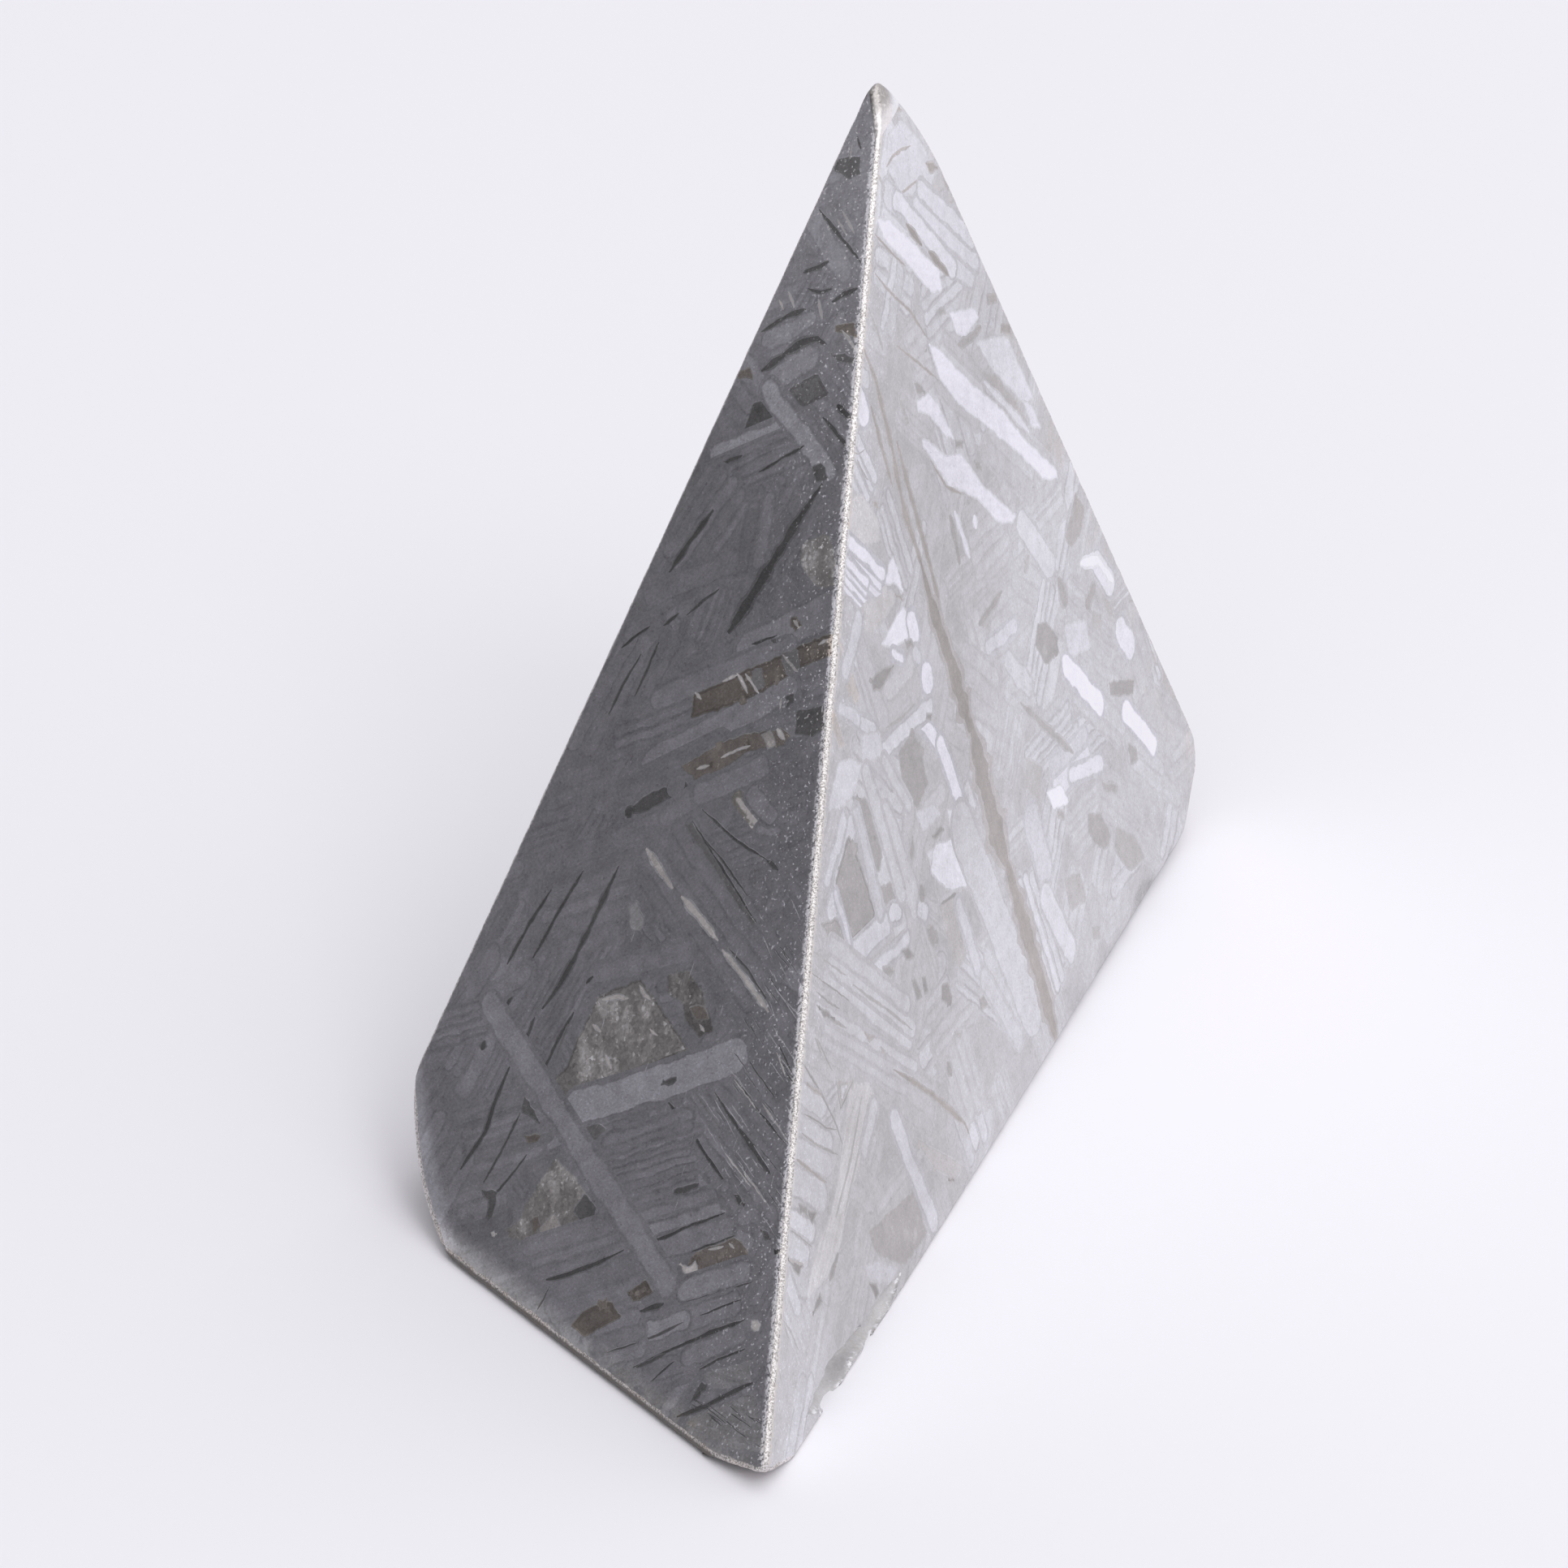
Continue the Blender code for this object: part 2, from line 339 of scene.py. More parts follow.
leftMarks = [
    # tip to the S-shaped line
    bar("blue", (994, 256), (1042, 338), 27),
    pit((1030, 195), (1060, 190), (1062, 215), (1045, 222), (1027, 212)),
    groove(5, (1009, 258), (1034, 290), (1061, 323)),
    seam(2.4, (1038, 260), (1053, 288)),
    seam(1.8, (1031, 270), (1043, 290)),
    seam(1.8, (1050, 178), (1047, 196)),
    groove(4, (1056, 168), (1061, 184)),
    groove(6, (989, 336), (1006, 330), (1021, 322)),
    groove(4, (995, 356), (1010, 360), (1025, 356)),
    groove(7, (1025, 372), (1040, 362), (1057, 355)),
    bar("blue", (944, 422), (1002, 391), 20, tone=0.77),
    groove(6, (938, 409), (954, 399), (970, 389), (993, 381)),
    seam(3, (972, 359), (979, 379)),
    seam(3, (960, 370), (965, 381)),
    seam(3.4, (1008, 368), (1013, 393)),
    rust((1028, 400), (1054, 396), (1056, 418), (1040, 412), (1030, 410)),
    seam(3, (1037, 407), (1045, 417), (1053, 430)),
    bar("blue", (948, 472), (1004, 438), 28, tone=0.83),
    groove(9, (938, 457), (958, 443), (975, 430), (989, 421), (1007, 417), (1018, 425)),
    pit((1023, 436), (1040, 433), (1053, 440), (1051, 450), (1030, 446)),
    rust((904, 458), (925, 452), (929, 467), (910, 468)),
    # crossing bars round the two cells
    pit((927, 496), (945, 491), (960, 513), (936, 529), (915, 532)),
    cell((970, 480), (1007, 458), (1022, 487), (989, 504), rim=3),
    bar("blue", (878, 562), (968, 524), 21, tone=0.87),
    bars("plain", (884, 590), (1000, 540), 44, 4),
    bar("blue", (944, 474), (1024, 586), 23, tone=0.81),
    groove(5, (883, 576), (899, 567), (915, 561)),
    groove(4, (935, 582), (968, 562), (991, 549)),
    bar("pale", (1022, 506), (1048, 546), 12),
    groove(8, (1032, 499), (1048, 516)),
    groove(6, (1014, 514), (1029, 531), (1043, 550)),
    pit((998, 575), (1012, 568), (1022, 590), (1006, 596)),
    # feathered middle
    bars("plain", (838, 700), (905, 600), 60, 4),
    bars("pale", (866, 792), (892, 722), 44, 5),
    bar("pale", (934, 698), (950, 612), 15),
    bar("plain", (912, 704), (930, 622), 15),
    groove(6, (879, 628), (852, 664), (824, 706)),
    groove(4, (905, 685), (888, 696), (856, 719)),
    groove(3.4, (886, 726), (866, 740), (846, 758)),
    groove(4, (836, 756), (817, 771)),
    groove(4, (801, 771), (784, 783), (766, 798)),
    groove(3, (790, 806), (768, 842), (750, 880)),
    groove(3, (812, 790), (795, 830), (782, 858)),
    bar("blue", (798, 737), (906, 689), 26),
    field("speckled", (990, 666), (1024, 656), (1031, 690), (1028, 730), (1000, 720), (984, 690), tone=0.66),
    bars("pale", (968, 712), (992, 742), 34, 4),
    groove((7, 15), (1013, 596), (980, 646), (948, 699), (920, 744), (897, 780)),
    # long bars with rusty strips between them
    bar("blue", (914, 806), (1034, 744), 40, tone=0.78),
    rust((974, 762), (982, 760), (989, 770), (981, 779), (972, 772)),
    seam(4, (978, 764), (984, 773)),
    beam((806, 862), (976, 798), 27, tone=0.67),
    groove(3, (926, 794), (957, 783)),
    pit((950, 787), (957, 786), (957, 793), (951, 793)),
    beam((796, 942), (978, 846), 29),
    rust((850, 886), (853, 856), (876, 845), (907, 831), (935, 818), (962, 806), (1000, 788), (1028, 779),
         (1025, 808), (1005, 816), (983, 826), (958, 842), (932, 856), (905, 868), (875, 879), rim=2),
    cell((925, 828), (938, 822), (942, 846), (930, 853), tone=0.62),
    cell((962, 808), (982, 798), (986, 824), (970, 834), tone=0.60),
    seam(3.4, (964, 807), (973, 817), (983, 828)),
    seam(3, (908, 829), (915, 841), (921, 854)),
    seam(3, (918, 830), (926, 842), (935, 854)),
    seam(3.5, (890, 839), (908, 832)),
    seam(3, (1008, 795), (1020, 788)),
    seam(4, (856, 853), (864, 862)),
    pit((967, 857), (979, 855), (977, 868), (968, 873)),
    seam(3, (963, 860), (961, 873)),
    pit((980, 876), (1017, 868), (1016, 900), (1000, 908), (978, 906), tone=0.45),
    beam((748, 986), (894, 914), 29, tone=0.62),
    rust((838, 944), (870, 925), (907, 906), (939, 902), (963, 896), (975, 905), (965, 920), (941, 922),
         (915, 930), (900, 942), (880, 958), (858, 962)),
    field("beige", (937, 903), (950, 900), (957, 918), (946, 924), tone=0.9),
    seam(5, (957, 898), (967, 912)),
    seam(3, (888, 934), (908, 924), (925, 919)),
    seam(3, (858, 948), (874, 943)),
    pit((768, 1002), (800, 976), (845, 960), (852, 974), (820, 987), (790, 1004)),
    bar("pale", (828, 972), (838, 966), 11, tone=0.59),
    beam((698, 1058), (834, 1004), 24),
    beam((818, 1009), (876, 968), 23),
    beam((858, 980), (944, 944), 26),
    # plates that run down to the right, with beige seams
    bars("plain", (812, 1036), (950, 1232), 104, 6),
    veil((842, 1016), (853, 1012), (934, 1134), (925, 1142)),
    groove(3, (853, 1012), (895, 1078), (932, 1138)),
    groove(3.5, (865, 997), (905, 1034), (945, 1060)),
    groove(6, (945, 1060), (959, 1072)),
    groove(2.5, (868, 1035), (890, 1060), (921, 1104)),
    bar("beige", (908, 982), (934, 1015), 9),
    beam((934, 1021), (959, 1024), 12, tone=0.85),
    bar("plain", (925, 975), (952, 1008), 22, tone=0.72),
    seam(7.5, (796, 1045), (812, 1070), (829, 1095)),
    seam(9, (839, 1104), (862, 1130), (885, 1159)),
    seam(7.5, (890, 1170), (918, 1206), (947, 1247)),
    groove(3, (898, 1168), (922, 1196), (944, 1231)),
    bar("pale", (728, 1203), (850, 1170), 24, tone=0.64),
    bar("pale", (690, 1172), (760, 1146), 20),
    cell((773, 1118), (785, 1108), (794, 1130), (790, 1150), (776, 1148), tone=0.75),
    bar("pale", (972, 1198), (990, 1214), 25),
    patch((939, 1257), (962, 1250), (978, 1256), (970, 1277), (948, 1279)),
    # steep dark lines on the far left
    groove((5, 7), (763, 1066), (745, 1104), (727, 1142), (708, 1180), (689, 1214), (668, 1243)),
    groove(4, (659, 1253), (642, 1295)),
    groove(4, (719, 1073), (690, 1120), (656, 1181)),
    groove(4, (679, 1096), (652, 1138), (625, 1188)),
    groove(4.5, (707, 1247), (684, 1288), (666, 1327)),
    groove(4, (634, 1218), (618, 1253)),
    groove(6, (731, 1202), (722, 1212)),
    groove(8, (597, 1282), (594, 1294)),
    groove(5.5, (628, 1314), (615, 1345), (607, 1364), (599, 1394), (571, 1440)),
    groove(3, (641, 1371), (620, 1414), (596, 1457)),
    groove(3, (649, 1423), (628, 1450), (607, 1475)),
    haze(3, (700, 1262), (686, 1300)),
    beam((602, 1229), (652, 1197), 20),
    pit((592, 1465), (614, 1467), (612, 1482), (606, 1502), (598, 1500), (601, 1482)),
    haze(5, (555, 1456), (556, 1472)),
    # speckled fields
    field("speckled", (737, 1226), (788, 1205), (806, 1228), (822, 1250), (838, 1275), (850, 1294),
          (760, 1334), (692, 1362), (678, 1333), (700, 1310), (712, 1275), (726, 1250), rim=2),
    field("speckled", (822, 1200), (850, 1195), (862, 1215), (872, 1240), (880, 1270), (862, 1279),
          (845, 1262), (838, 1235), (822, 1225), tone=0.44),
    rust((848, 1240), (868, 1238), (874, 1256), (858, 1258)),
    seam(4, (862, 1262), (868, 1272)),
    seam(5, (742, 1232), (762, 1228), (774, 1230)),
    seam(5, (788, 1214), (794, 1226), (802, 1232)),
    seam(5, (730, 1262), (740, 1272)),
    seam(4, (746, 1300), (754, 1318)),
    seam(4, (800, 1268), (810, 1276)),
    field("speckled", (684, 1425), (700, 1440), (712, 1452), (724, 1470), (737, 1490), (745, 1506),
          (700, 1522), (660, 1531), (628, 1527), (621, 1515), (640, 1502), (645, 1485), (660, 1463),
          tone=0.56),
    rust((652, 1502), (664, 1498), (668, 1512), (656, 1522)),
    field("beige", (681, 1494), (692, 1508), (702, 1521), (668, 1526), (664, 1514), tone=0.85),
    pit((722, 1468), (745, 1506), (718, 1512), (706, 1490)),
    pit((647, 1348), (668, 1388), (640, 1368)),
    rust((645, 1398), (668, 1396), (662, 1408), (648, 1408)),
    # the broad bar, the plates beside it and the stack of fine bars under it
    bars("plain", (842, 1340), (952, 1488), 116, 7),
    groove(4.5, (822, 1356), (858, 1405), (893, 1457)),
    haze(2, (853, 1341), (889, 1394)),
    groove((3, 9), (880, 1346), (905, 1383), (930, 1418), (948, 1446)),
    groove(2.5, (903, 1323), (931, 1364), (968, 1410)),
    groove(2, (922, 1306), (954, 1352)),
    groove(2.5, (960, 1287), (977, 1325)),
    seam(2, (939, 1360), (956, 1384), (971, 1407)),
    seam(1.6, (957, 1296), (968, 1328)),
    seam(1.6, (893, 1420), (925, 1462)),
    seam(1.6, (912, 1438), (944, 1482)),
    seam(1.4, (905, 1330), (936, 1372)),
    bars("plate", (744, 1450), (856, 1414), 96, 9),
    pit((703, 1385), (735, 1378), (748, 1392), (718, 1420), tone=0.5),
    beam((704, 1366), (914, 1298), 42, bend=-3, tone=0.795),
    pit((813, 1337), (818, 1330), (833, 1325), (835, 1330), (824, 1339)),
    # stacked bars of the lower right
    plate((784, 1502), (880, 1471), 16, tone=0.74),
    plate((790, 1520), (886, 1489), 17, tone=0.74),
    plate((806, 1541), (902, 1511), 27, tone=0.76),
    pit((829, 1466), (848, 1458), (863, 1457), (860, 1464), (842, 1473), (830, 1472)),
    groove((5, 3), (803, 1529), (825, 1522), (847, 1511), (870, 1503), (893, 1494)),
    groove(3, (852, 1542), (880, 1532), (905, 1522)),
    rust((852, 1548), (870, 1537), (908, 1524), (923, 1541), (922, 1551), (882, 1561), (862, 1569)),
    seam(4, (873, 1540), (892, 1536)),
    seam(3, (898, 1532), (905, 1538)),
    field("beige", (836, 1556), (846, 1560), (858, 1552), (860, 1568), (850, 1573), (840, 1566)),
    plate((838, 1592), (922, 1564), 27, tone=0.76),
    groove(2.5, (847, 1603), (870, 1597), (893, 1590), (928, 1579)),
    plate((796, 1642), (910, 1604), 28, tone=0.73),
    plate((766, 1654), (846, 1626), 24, tone=0.72),
    groove(2.5, (862, 1621), (890, 1610), (913, 1601)),
    groove(3, (760, 1662), (785, 1655), (811, 1644), (842, 1629)),
    plate((794, 1694), (880, 1662), 26),
    plate((842, 1672), (914, 1646), 24),
    groove((4, 6), (780, 1685), (824, 1664), (852, 1652), (882, 1639), (918, 1626)),
    groove(3.5, (862, 1687), (885, 1675), (918, 1662)),
    groove(2, (801, 1703), (815, 1690), (831, 1677)),
    field("streaks", (864, 1692), (926, 1674), (926, 1704), (880, 1714), along=((864, 1690), (920, 1712))),
    field("streaks", (838, 1752), (930, 1712), (946, 1792), (902, 1786), along=((850, 1740), (930, 1768))),
    groove(6.5, (834, 1746), (870, 1732), (900, 1716), (928, 1703)),
    field("beige", (925, 1627), (932, 1625), (938, 1631), (936, 1640), (928, 1642), (924, 1636)),
    # rubbed scratches by the ridge
    scratches("scratch", 46, (0.4, 2.2), (939, 1360), (971, 1407), (985, 1180), (966, 1560), (905, 1480),
              (850, 1345), (935, 1290), (950, 1190)),
    scratches("line", 34, (0.3, 1.6), (939, 1360), (971, 1407), (985, 1150), (966, 1560), (905, 1480),
              (850, 1345), (900, 1290), (940, 1150)),
    scratches("scratch", 16, (0.3, 1.2), (930, 1120), (962, 1190), (985, 1100), (975, 1300), (930, 1290),
              (930, 1110)),
    scratches("line", 18, (0.3, 1.4), (862, 1740), (905, 1768), (836, 1720), (938, 1712), (938, 1790)),
    scratches("scratch", 14, (0.2, 0.8), (900, 1500), (930, 1400), (700, 1150), (960, 1100), (950, 1700),
              (640, 1500)),
    # the long bar across all of them, and what lies left of it
    bars("soft", (652, 1560), (776, 1520), 60, 3),
    bars("soft", (690, 1602), (792, 1568), 50, 2),
    bars("plain", (730, 1660), (792, 1640), 60, 3),
    groove((7, 4), (673, 1577), (700, 1570), (721, 1562), (745, 1552), (769, 1540)),
    groove(2, (677, 1585), (670, 1600), (662, 1614)),
    rust((702, 1633), (719, 1612), (753, 1602), (767, 1624), (721, 1647), rim=4.5, tone=0.52),
    rust((771, 1593), (795, 1574), (807, 1593), (780, 1605), rim=4.5, tone=0.52),
    groove(7, (788, 1616), (818, 1606)),
    groove(2.5, (748, 1666), (784, 1655)),
    groove(4, (784, 1685), (820, 1668)),
    beam((600, 1232), (826, 1588), 27, tone=0.695),
    beam((911, 1501), (934, 1496), 20),
    beam((891, 1463), (899, 1461), 10),
    pit((903, 1472), (912, 1473), (919, 1486), (910, 1486)),
    pit((936, 1514), (948, 1518), (951, 1529), (940, 1528)),
    pit((953, 1538), (966, 1541), (965, 1548), (955, 1546), tone=0.25),
    field("beige", (605, 1519), (609, 1517), (612, 1521), (609, 1525), (605, 1524)),
]

rightMarks = [
    # tip to the bright pair of bars
    patch((1093, 165), (1112, 146), (1138, 176), (1152, 214), (1146, 238), (1112, 242), (1092, 206)),
    field("tan", (1098, 128), (1112, 125), (1119, 134), (1104, 141)),
    field("tan", (1139, 200), (1150, 197), (1157, 208), (1146, 215)),
    trace(3, (1122, 180), (1110, 185), (1100, 193), (1092, 206)),
    trace(3, (1138, 217), (1118, 232), (1107, 241)),
    haze(3, (1176, 247), (1160, 258), (1148, 269)),
    haze(2, (1082, 215), (1090, 232), (1086, 246)),
    bars("pale", (1125, 250), (1200, 322), 56, 3),
    beam((1102, 244), (1176, 332), 16),
    field("white", (1080, 268), (1096, 270), (1127, 300), (1157, 331), (1162, 358), (1148, 363), (1114, 321),
          (1090, 297)),
    trace(6, (1116, 275), (1126, 289), (1136, 302), tone=0.42),
    trace(6, (1144, 309), (1156, 324), (1169, 339), tone=0.42),
    trace(2.5, (1078, 288), (1096, 309), (1116, 328)),
    trace(3, (1078, 337), (1090, 352), (1103, 366), (1122, 384), (1142, 415)),
    haze(3, (1070, 379), (1083, 414)),
    haze(3, (1079, 400), (1088, 432)),
    field("white", (1168, 384), (1200, 378), (1207, 392), (1190, 415), (1178, 412)),
    cell((1215, 362), (1228, 361), (1229, 374), (1216, 376)),
    cell((1233, 398), (1246, 397), (1245, 413), (1232, 410)),
    cell((1156, 380), (1164, 378), (1166, 388), (1158, 390)),
    # upper middle: ragged white bars
    patch((1200, 420), (1240, 410), (1274, 490), (1262, 500), (1222, 456), tone=0.72),
    trace(3, (1105, 426), (1130, 446), (1154, 466)),
    field("white", (1143, 421), (1161, 432), (1177, 451), (1206, 478), (1234, 502), (1265, 543), (1301, 576),
          (1304, 590), (1287, 593), (1259, 563), (1232, 541), (1208, 520), (1181, 500), (1157, 467)),
    cell((1126, 470), (1136, 473), (1141, 485), (1130, 487)),
    field("white", (1129, 494), (1144, 483), (1157, 498), (1178, 543), (1165, 540), (1144, 511),
          (1130, 507)),
    cell((1176, 541), (1188, 541), (1187, 554), (1177, 553)),
    field("white", (1135, 540), (1146, 542), (1163, 559), (1185, 558), (1198, 577), (1210, 596), (1232, 616),
          (1253, 635), (1248, 646), (1230, 646), (1206, 618), (1185, 606), (1169, 601), (1148, 567),
          (1137, 552)),
    cell((1199, 565), (1208, 569), (1211, 581), (1202, 579)),
    trace(3, (1147, 568), (1166, 600), (1184, 608)),
    line("dull", 6, (1170, 634), (1176, 660), (1183, 696)),
    line("white", 5, (1176, 630), (1186, 660), (1195, 688)),
    line("white", 5, (1200, 634), (1203, 652)),
    cell((1325, 606), (1337, 626), (1332, 661), (1319, 676), (1311, 664), (1318, 636)),
    # bright cracked patches by the ridge
    patch((1049, 527), (1062, 530), (1078, 575), (1080, 612), (1060, 612), (1045, 600)),
    bars("bar", (1050, 545), (1074, 602), 26, 3),
    glint((1055, 484), (1067, 516), 17),
    haze(1.6, (1050, 556), (1058, 560), (1066, 553)),
    haze(1.6, (1056, 566), (1062, 580), (1070, 592)),
    cell((1043, 614), (1062, 607), (1083, 640), (1085, 668), (1060, 673), (1041, 655), tone=0.68),
    field("tan", (1075, 616), (1082, 618), (1083, 628), (1076, 625)),
    bars("white", (1040, 676), (1088, 722), 34, 3),
    bars("white", (1038, 700), (1068, 736), 30, 4),
    cell((1098, 724), (1105, 739), (1076, 784), (1052, 778), (1060, 746), tone=0.64),
    field("white", (1090, 720), (1096, 690), (1100, 683), (1107, 700), (1114, 731), (1103, 722)),
    field("tan", (1102, 730), (1110, 732), (1113, 741), (1104, 739)),
    # lens-shaped plates by the ridge and the bright beads beside the long line
    bar("soft", (1044, 748), (1090, 888), 15),
    field("tan", (1033, 784), (1044, 806), (1061, 860), (1053, 869), (1036, 820), tone=0.60),
    field("tan", (1023, 868), (1031, 880), (1042, 918), (1034, 923), (1026, 900), tone=0.60),
    patch((1084, 796), (1112, 743), (1124, 760), (1120, 788), (1100, 800), tone=0.78),
    glint((1099, 804), (1113, 812), 11),
    glint((1122, 757), (1128, 787), 12),
    glint((1140, 824), (1144, 849), 13),
    bar("pale", (1126, 802), (1133, 812), 11),
    cell((1114, 788), (1124, 787), (1127, 798), (1117, 801)),
    cell((1072, 838), (1086, 822), (1104, 817), (1088, 849), (1076, 854), tone=0.46),
    bar("pale", (1060, 890), (1078, 898), 16),
    glint((1132, 885), (1162, 923), 14),
    glint((1157, 912), (1184, 988), 12, tone=0.76),
    beam((1088, 925), (1148, 868), 17),
    haze(4, (1092, 896), (1110, 886), (1128, 867)),
    cell((1141, 877), (1149, 878), (1148, 889), (1141, 887), tone=0.45),
    cell((1106, 925), (1122, 904), (1135, 915), (1144, 966), (1131, 999), (1114, 987)),
    patch((1032, 940), (1046, 933), (1062, 941), (1055, 975), (1040, 996), (1019, 1001)),
    # far side
    beam((1349, 688), (1370, 724), 20),
    line("dull", 10, (1304, 711), (1309, 730), (1315, 746)),
    line("dull", 9, (1350, 720), (1338, 749)),
    patch((1310, 770), (1338, 762), (1344, 800), (1318, 812)),
    cell((1278, 768), (1290, 765), (1305, 785), (1299, 812), (1288, 821), (1275, 795), tone=0.48),
    glint((1311, 818), (1358, 871), 20, tone=0.86),
    cell((1366, 838), (1398, 836), (1396, 858), (1368, 859), tone=0.48),
    glint((1385, 874), (1423, 920), 18, tone=0.86),
    cell((1389, 914), (1400, 920), (1403, 938), (1393, 944)),
    cell((1365, 960), (1378, 966), (1376, 977), (1366, 972)),
    cell((1340, 1002), (1356, 1000), (1371, 1030), (1364, 1048), (1350, 1042), (1340, 1024), tone=0.49),
    veil((1345, 1140), (1356, 1138), (1356, 1158), (1346, 1160)),
    bars("pale", (1300, 960), (1340, 920), 40, 2),
    line("dull", 7, (1257, 866), (1290, 897), (1323, 928)),
    veil((1210, 762), (1220, 764), (1219, 776), (1211, 775)),
    # soft patches of the far side
    line("dull", 8, (1180, 426), (1196, 417), (1209, 402)),
    veil((1203, 452), (1228, 462), (1250, 490), (1268, 520), (1256, 530), (1230, 495)),
    line("pale", 7, (1212, 470), (1240, 500), (1268, 532)),
    patch((1258, 490), (1272, 498), (1284, 530), (1270, 526)),
    line("dull", 7, (1235, 728), (1222, 748), (1206, 770)),
    haze(6, (1268, 684), (1262, 706)),
    line("bar", 13, (1331, 694), (1352, 690), (1372, 716), tone=0.82),
    bar("pale", (1378, 772), (1394, 800), 22, tone=0.78),
    patch((1288, 974), (1308, 966), (1318, 990), (1298, 1000), tone=0.80),
    bar("pale", (1318, 956), (1358, 940), 18, tone=0.76),
    cell((1302, 998), (1312, 998), (1312, 1010), (1303, 1010)),
    veil((1374, 1016), (1400, 1030), (1412, 1058), (1392, 1076), (1372, 1048), tone=0.53),
    veil((1356, 960), (1376, 966), (1374, 980), (1360, 976), tone=0.52),
    bar("pale", (1216, 800), (1252, 770), 16),
    bar("soft", (1256, 640), (1296, 700), 22),
    bar("soft", (1240, 810), (1270, 850), 18),
    veil((1264, 930), (1286, 944), (1282, 990), (1262, 972)),
    bar("pale", (1268, 1000), (1290, 1080), 20, tone=0.64),
    veil((1310, 1080), (1332, 1074), (1340, 1110), (1318, 1124), tone=0.54),
    bar("soft", (1286, 1100), (1322, 1176), 20),
    # crossing plates and grey cells of the middle
    bar("soft", (1066, 1000), (1112, 1150), 18),
    bar("pale", (1024, 1130), (1052, 1010), 13),
    bar("soft", (1088, 1000), (1130, 1120), 20),
    cell((1045, 1026), (1058, 1054), (1079, 1123), (1078, 1135), (1051, 1160), (1046, 1154), (1027, 1092),
         rim=1.6),
    cell((1055, 982), (1069, 984), (1088, 1054), (1083, 1075), (1074, 1068), (1065, 1031), (1053, 1007),
         tone=0.48),
    cell((1085, 1092), (1098, 1086), (1106, 1109), (1089, 1117)),
    cell((1010, 1138), (1031, 1129), (1050, 1173), (1025, 1161), rim=1.6),
    beam((1048, 1182), (1094, 1136), 24),
    beam((1097, 1126), (1109, 1124), 23),
    beam((1132, 1118), (1142, 1126), 20),
    haze(2.5, (1066, 1190), (1090, 1170), (1116, 1143)),
    beam((1076, 1198), (1120, 1156), 13),
    cell((1110, 1172), (1120, 1165), (1128, 1178), (1117, 1185), tone=0.46),
    cell((1086, 1192), (1096, 1187), (1103, 1198), (1090, 1207)),
    cell((1122, 1206), (1128, 1204), (1137, 1228), (1130, 1234), tone=0.48),
    cell((1135, 1203), (1141, 1201), (1145, 1222), (1139, 1227), tone=0.48),
    cell((1160, 1212), (1168, 1209), (1174, 1228), (1167, 1239), (1160, 1234), tone=0.48),
    cell((1141, 1142), (1150, 1139), (1157, 1158), (1150, 1169), (1144, 1160)),
    cell((1156, 1114), (1181, 1097), (1200, 1159), (1181, 1197), (1165, 1150), tone=0.58),
    line("dull", 5, (1160, 1114), (1178, 1101), tone=0.46),
    line("dull", 8, (1135, 1090), (1137, 1112)),
    cell((1205, 1228), (1216, 1223), (1219, 1240), (1208, 1247)),
    veil((1175, 1272), (1187, 1269), (1184, 1283)),
    cell((1147, 1031), (1160, 1015), (1165, 1022), (1152, 1037), tone=0.46),
    patch((1127, 1002), (1150, 987), (1161, 1004), (1138, 1027)),
    field("bar", (1141, 1050), (1160, 1039), (1173, 1062), (1150, 1079)),
    bar("pale", (1034, 870), (1058, 888), 14),
    patch((1058, 905), (1084, 899), (1090, 934), (1064, 943)),
    bar("pale", (1054, 996), (1086, 1128), 9),
    bar("pale", (1041, 1006), (1018, 1090), 8),
    glint((1029, 1098), (1048, 1166), 5, tone=0.74),
    bar("soft", (1066, 946), (1112, 1106), 11),
    bar("soft", (1088, 934), (1122, 996), 10),
    patch((1150, 1040), (1178, 1028), (1196, 1058), (1198, 1092), (1168, 1100), (1146, 1076), tone=0.745),
    patch((1166, 994), (1184, 1000), (1194, 1040), (1186, 1060), (1172, 1030), tone=0.76),
    bar("pale", (1060, 760), (1040, 830), 12),
    bar("pale", (1180, 1110), (1206, 1196), 10),
    bars("soft", (1216, 1180), (1262, 1262), 46, 3),
    bars("soft", (1018, 1180), (1120, 1262), 52, 3),
    bars("soft", (1010, 1262), (1124, 1330), 44, 3),
    # under the cells: thin lines
    groove(2, (1000, 1199), (1025, 1217), (1046, 1233), tone=0.5),
    groove(2.5, (1006, 1222), (1020, 1234), (1034, 1243), tone=0.5),
    groove(3.5, (1006, 1238), (1024, 1256), (1043, 1267), tone=0.5),
    pit((1008, 1241), (1020, 1244), (1031, 1258), (1014, 1254)),
    haze(3, (1051, 1213), (1070, 1228), (1092, 1243), (1124, 1269)),
    haze(2, (1001, 1171), (1022, 1188), (1043, 1202)),
    field("tan", (1064, 1271), (1079, 1276), (1072, 1286)),
    groove(1.6, (1004, 1278), (1012, 1298), tone=0.5),
    # rounded fingers against the ridge
    bar("plain", (984, 1344), (1016, 1366), 24),
    bar("plain", (980, 1382), (1024, 1410), 25),
    bar("plain", (976, 1412), (1022, 1440), 27),
    bar("plain", (972, 1450), (1016, 1476), 36),
    bar("plain", (968, 1500), (1002, 1518), 27),
    bar("plain", (966, 1528), (996, 1548), 26),
    groove(2, (1007, 1280), (1018, 1304), (1026, 1320), tone=0.5),
    groove(1.8, (988, 1308), (1013, 1349), (1030, 1385), (1040, 1416), tone=0.5),
    field("tan", (992, 1334), (1010, 1342), (1014, 1352), (1002, 1348)),
    groove(2, (990, 1372), (1006, 1380), (1018, 1390), (1031, 1392), tone=0.5),
    groove(3, (988, 1396), (1007, 1411), (1033, 1423), tone=0.5),
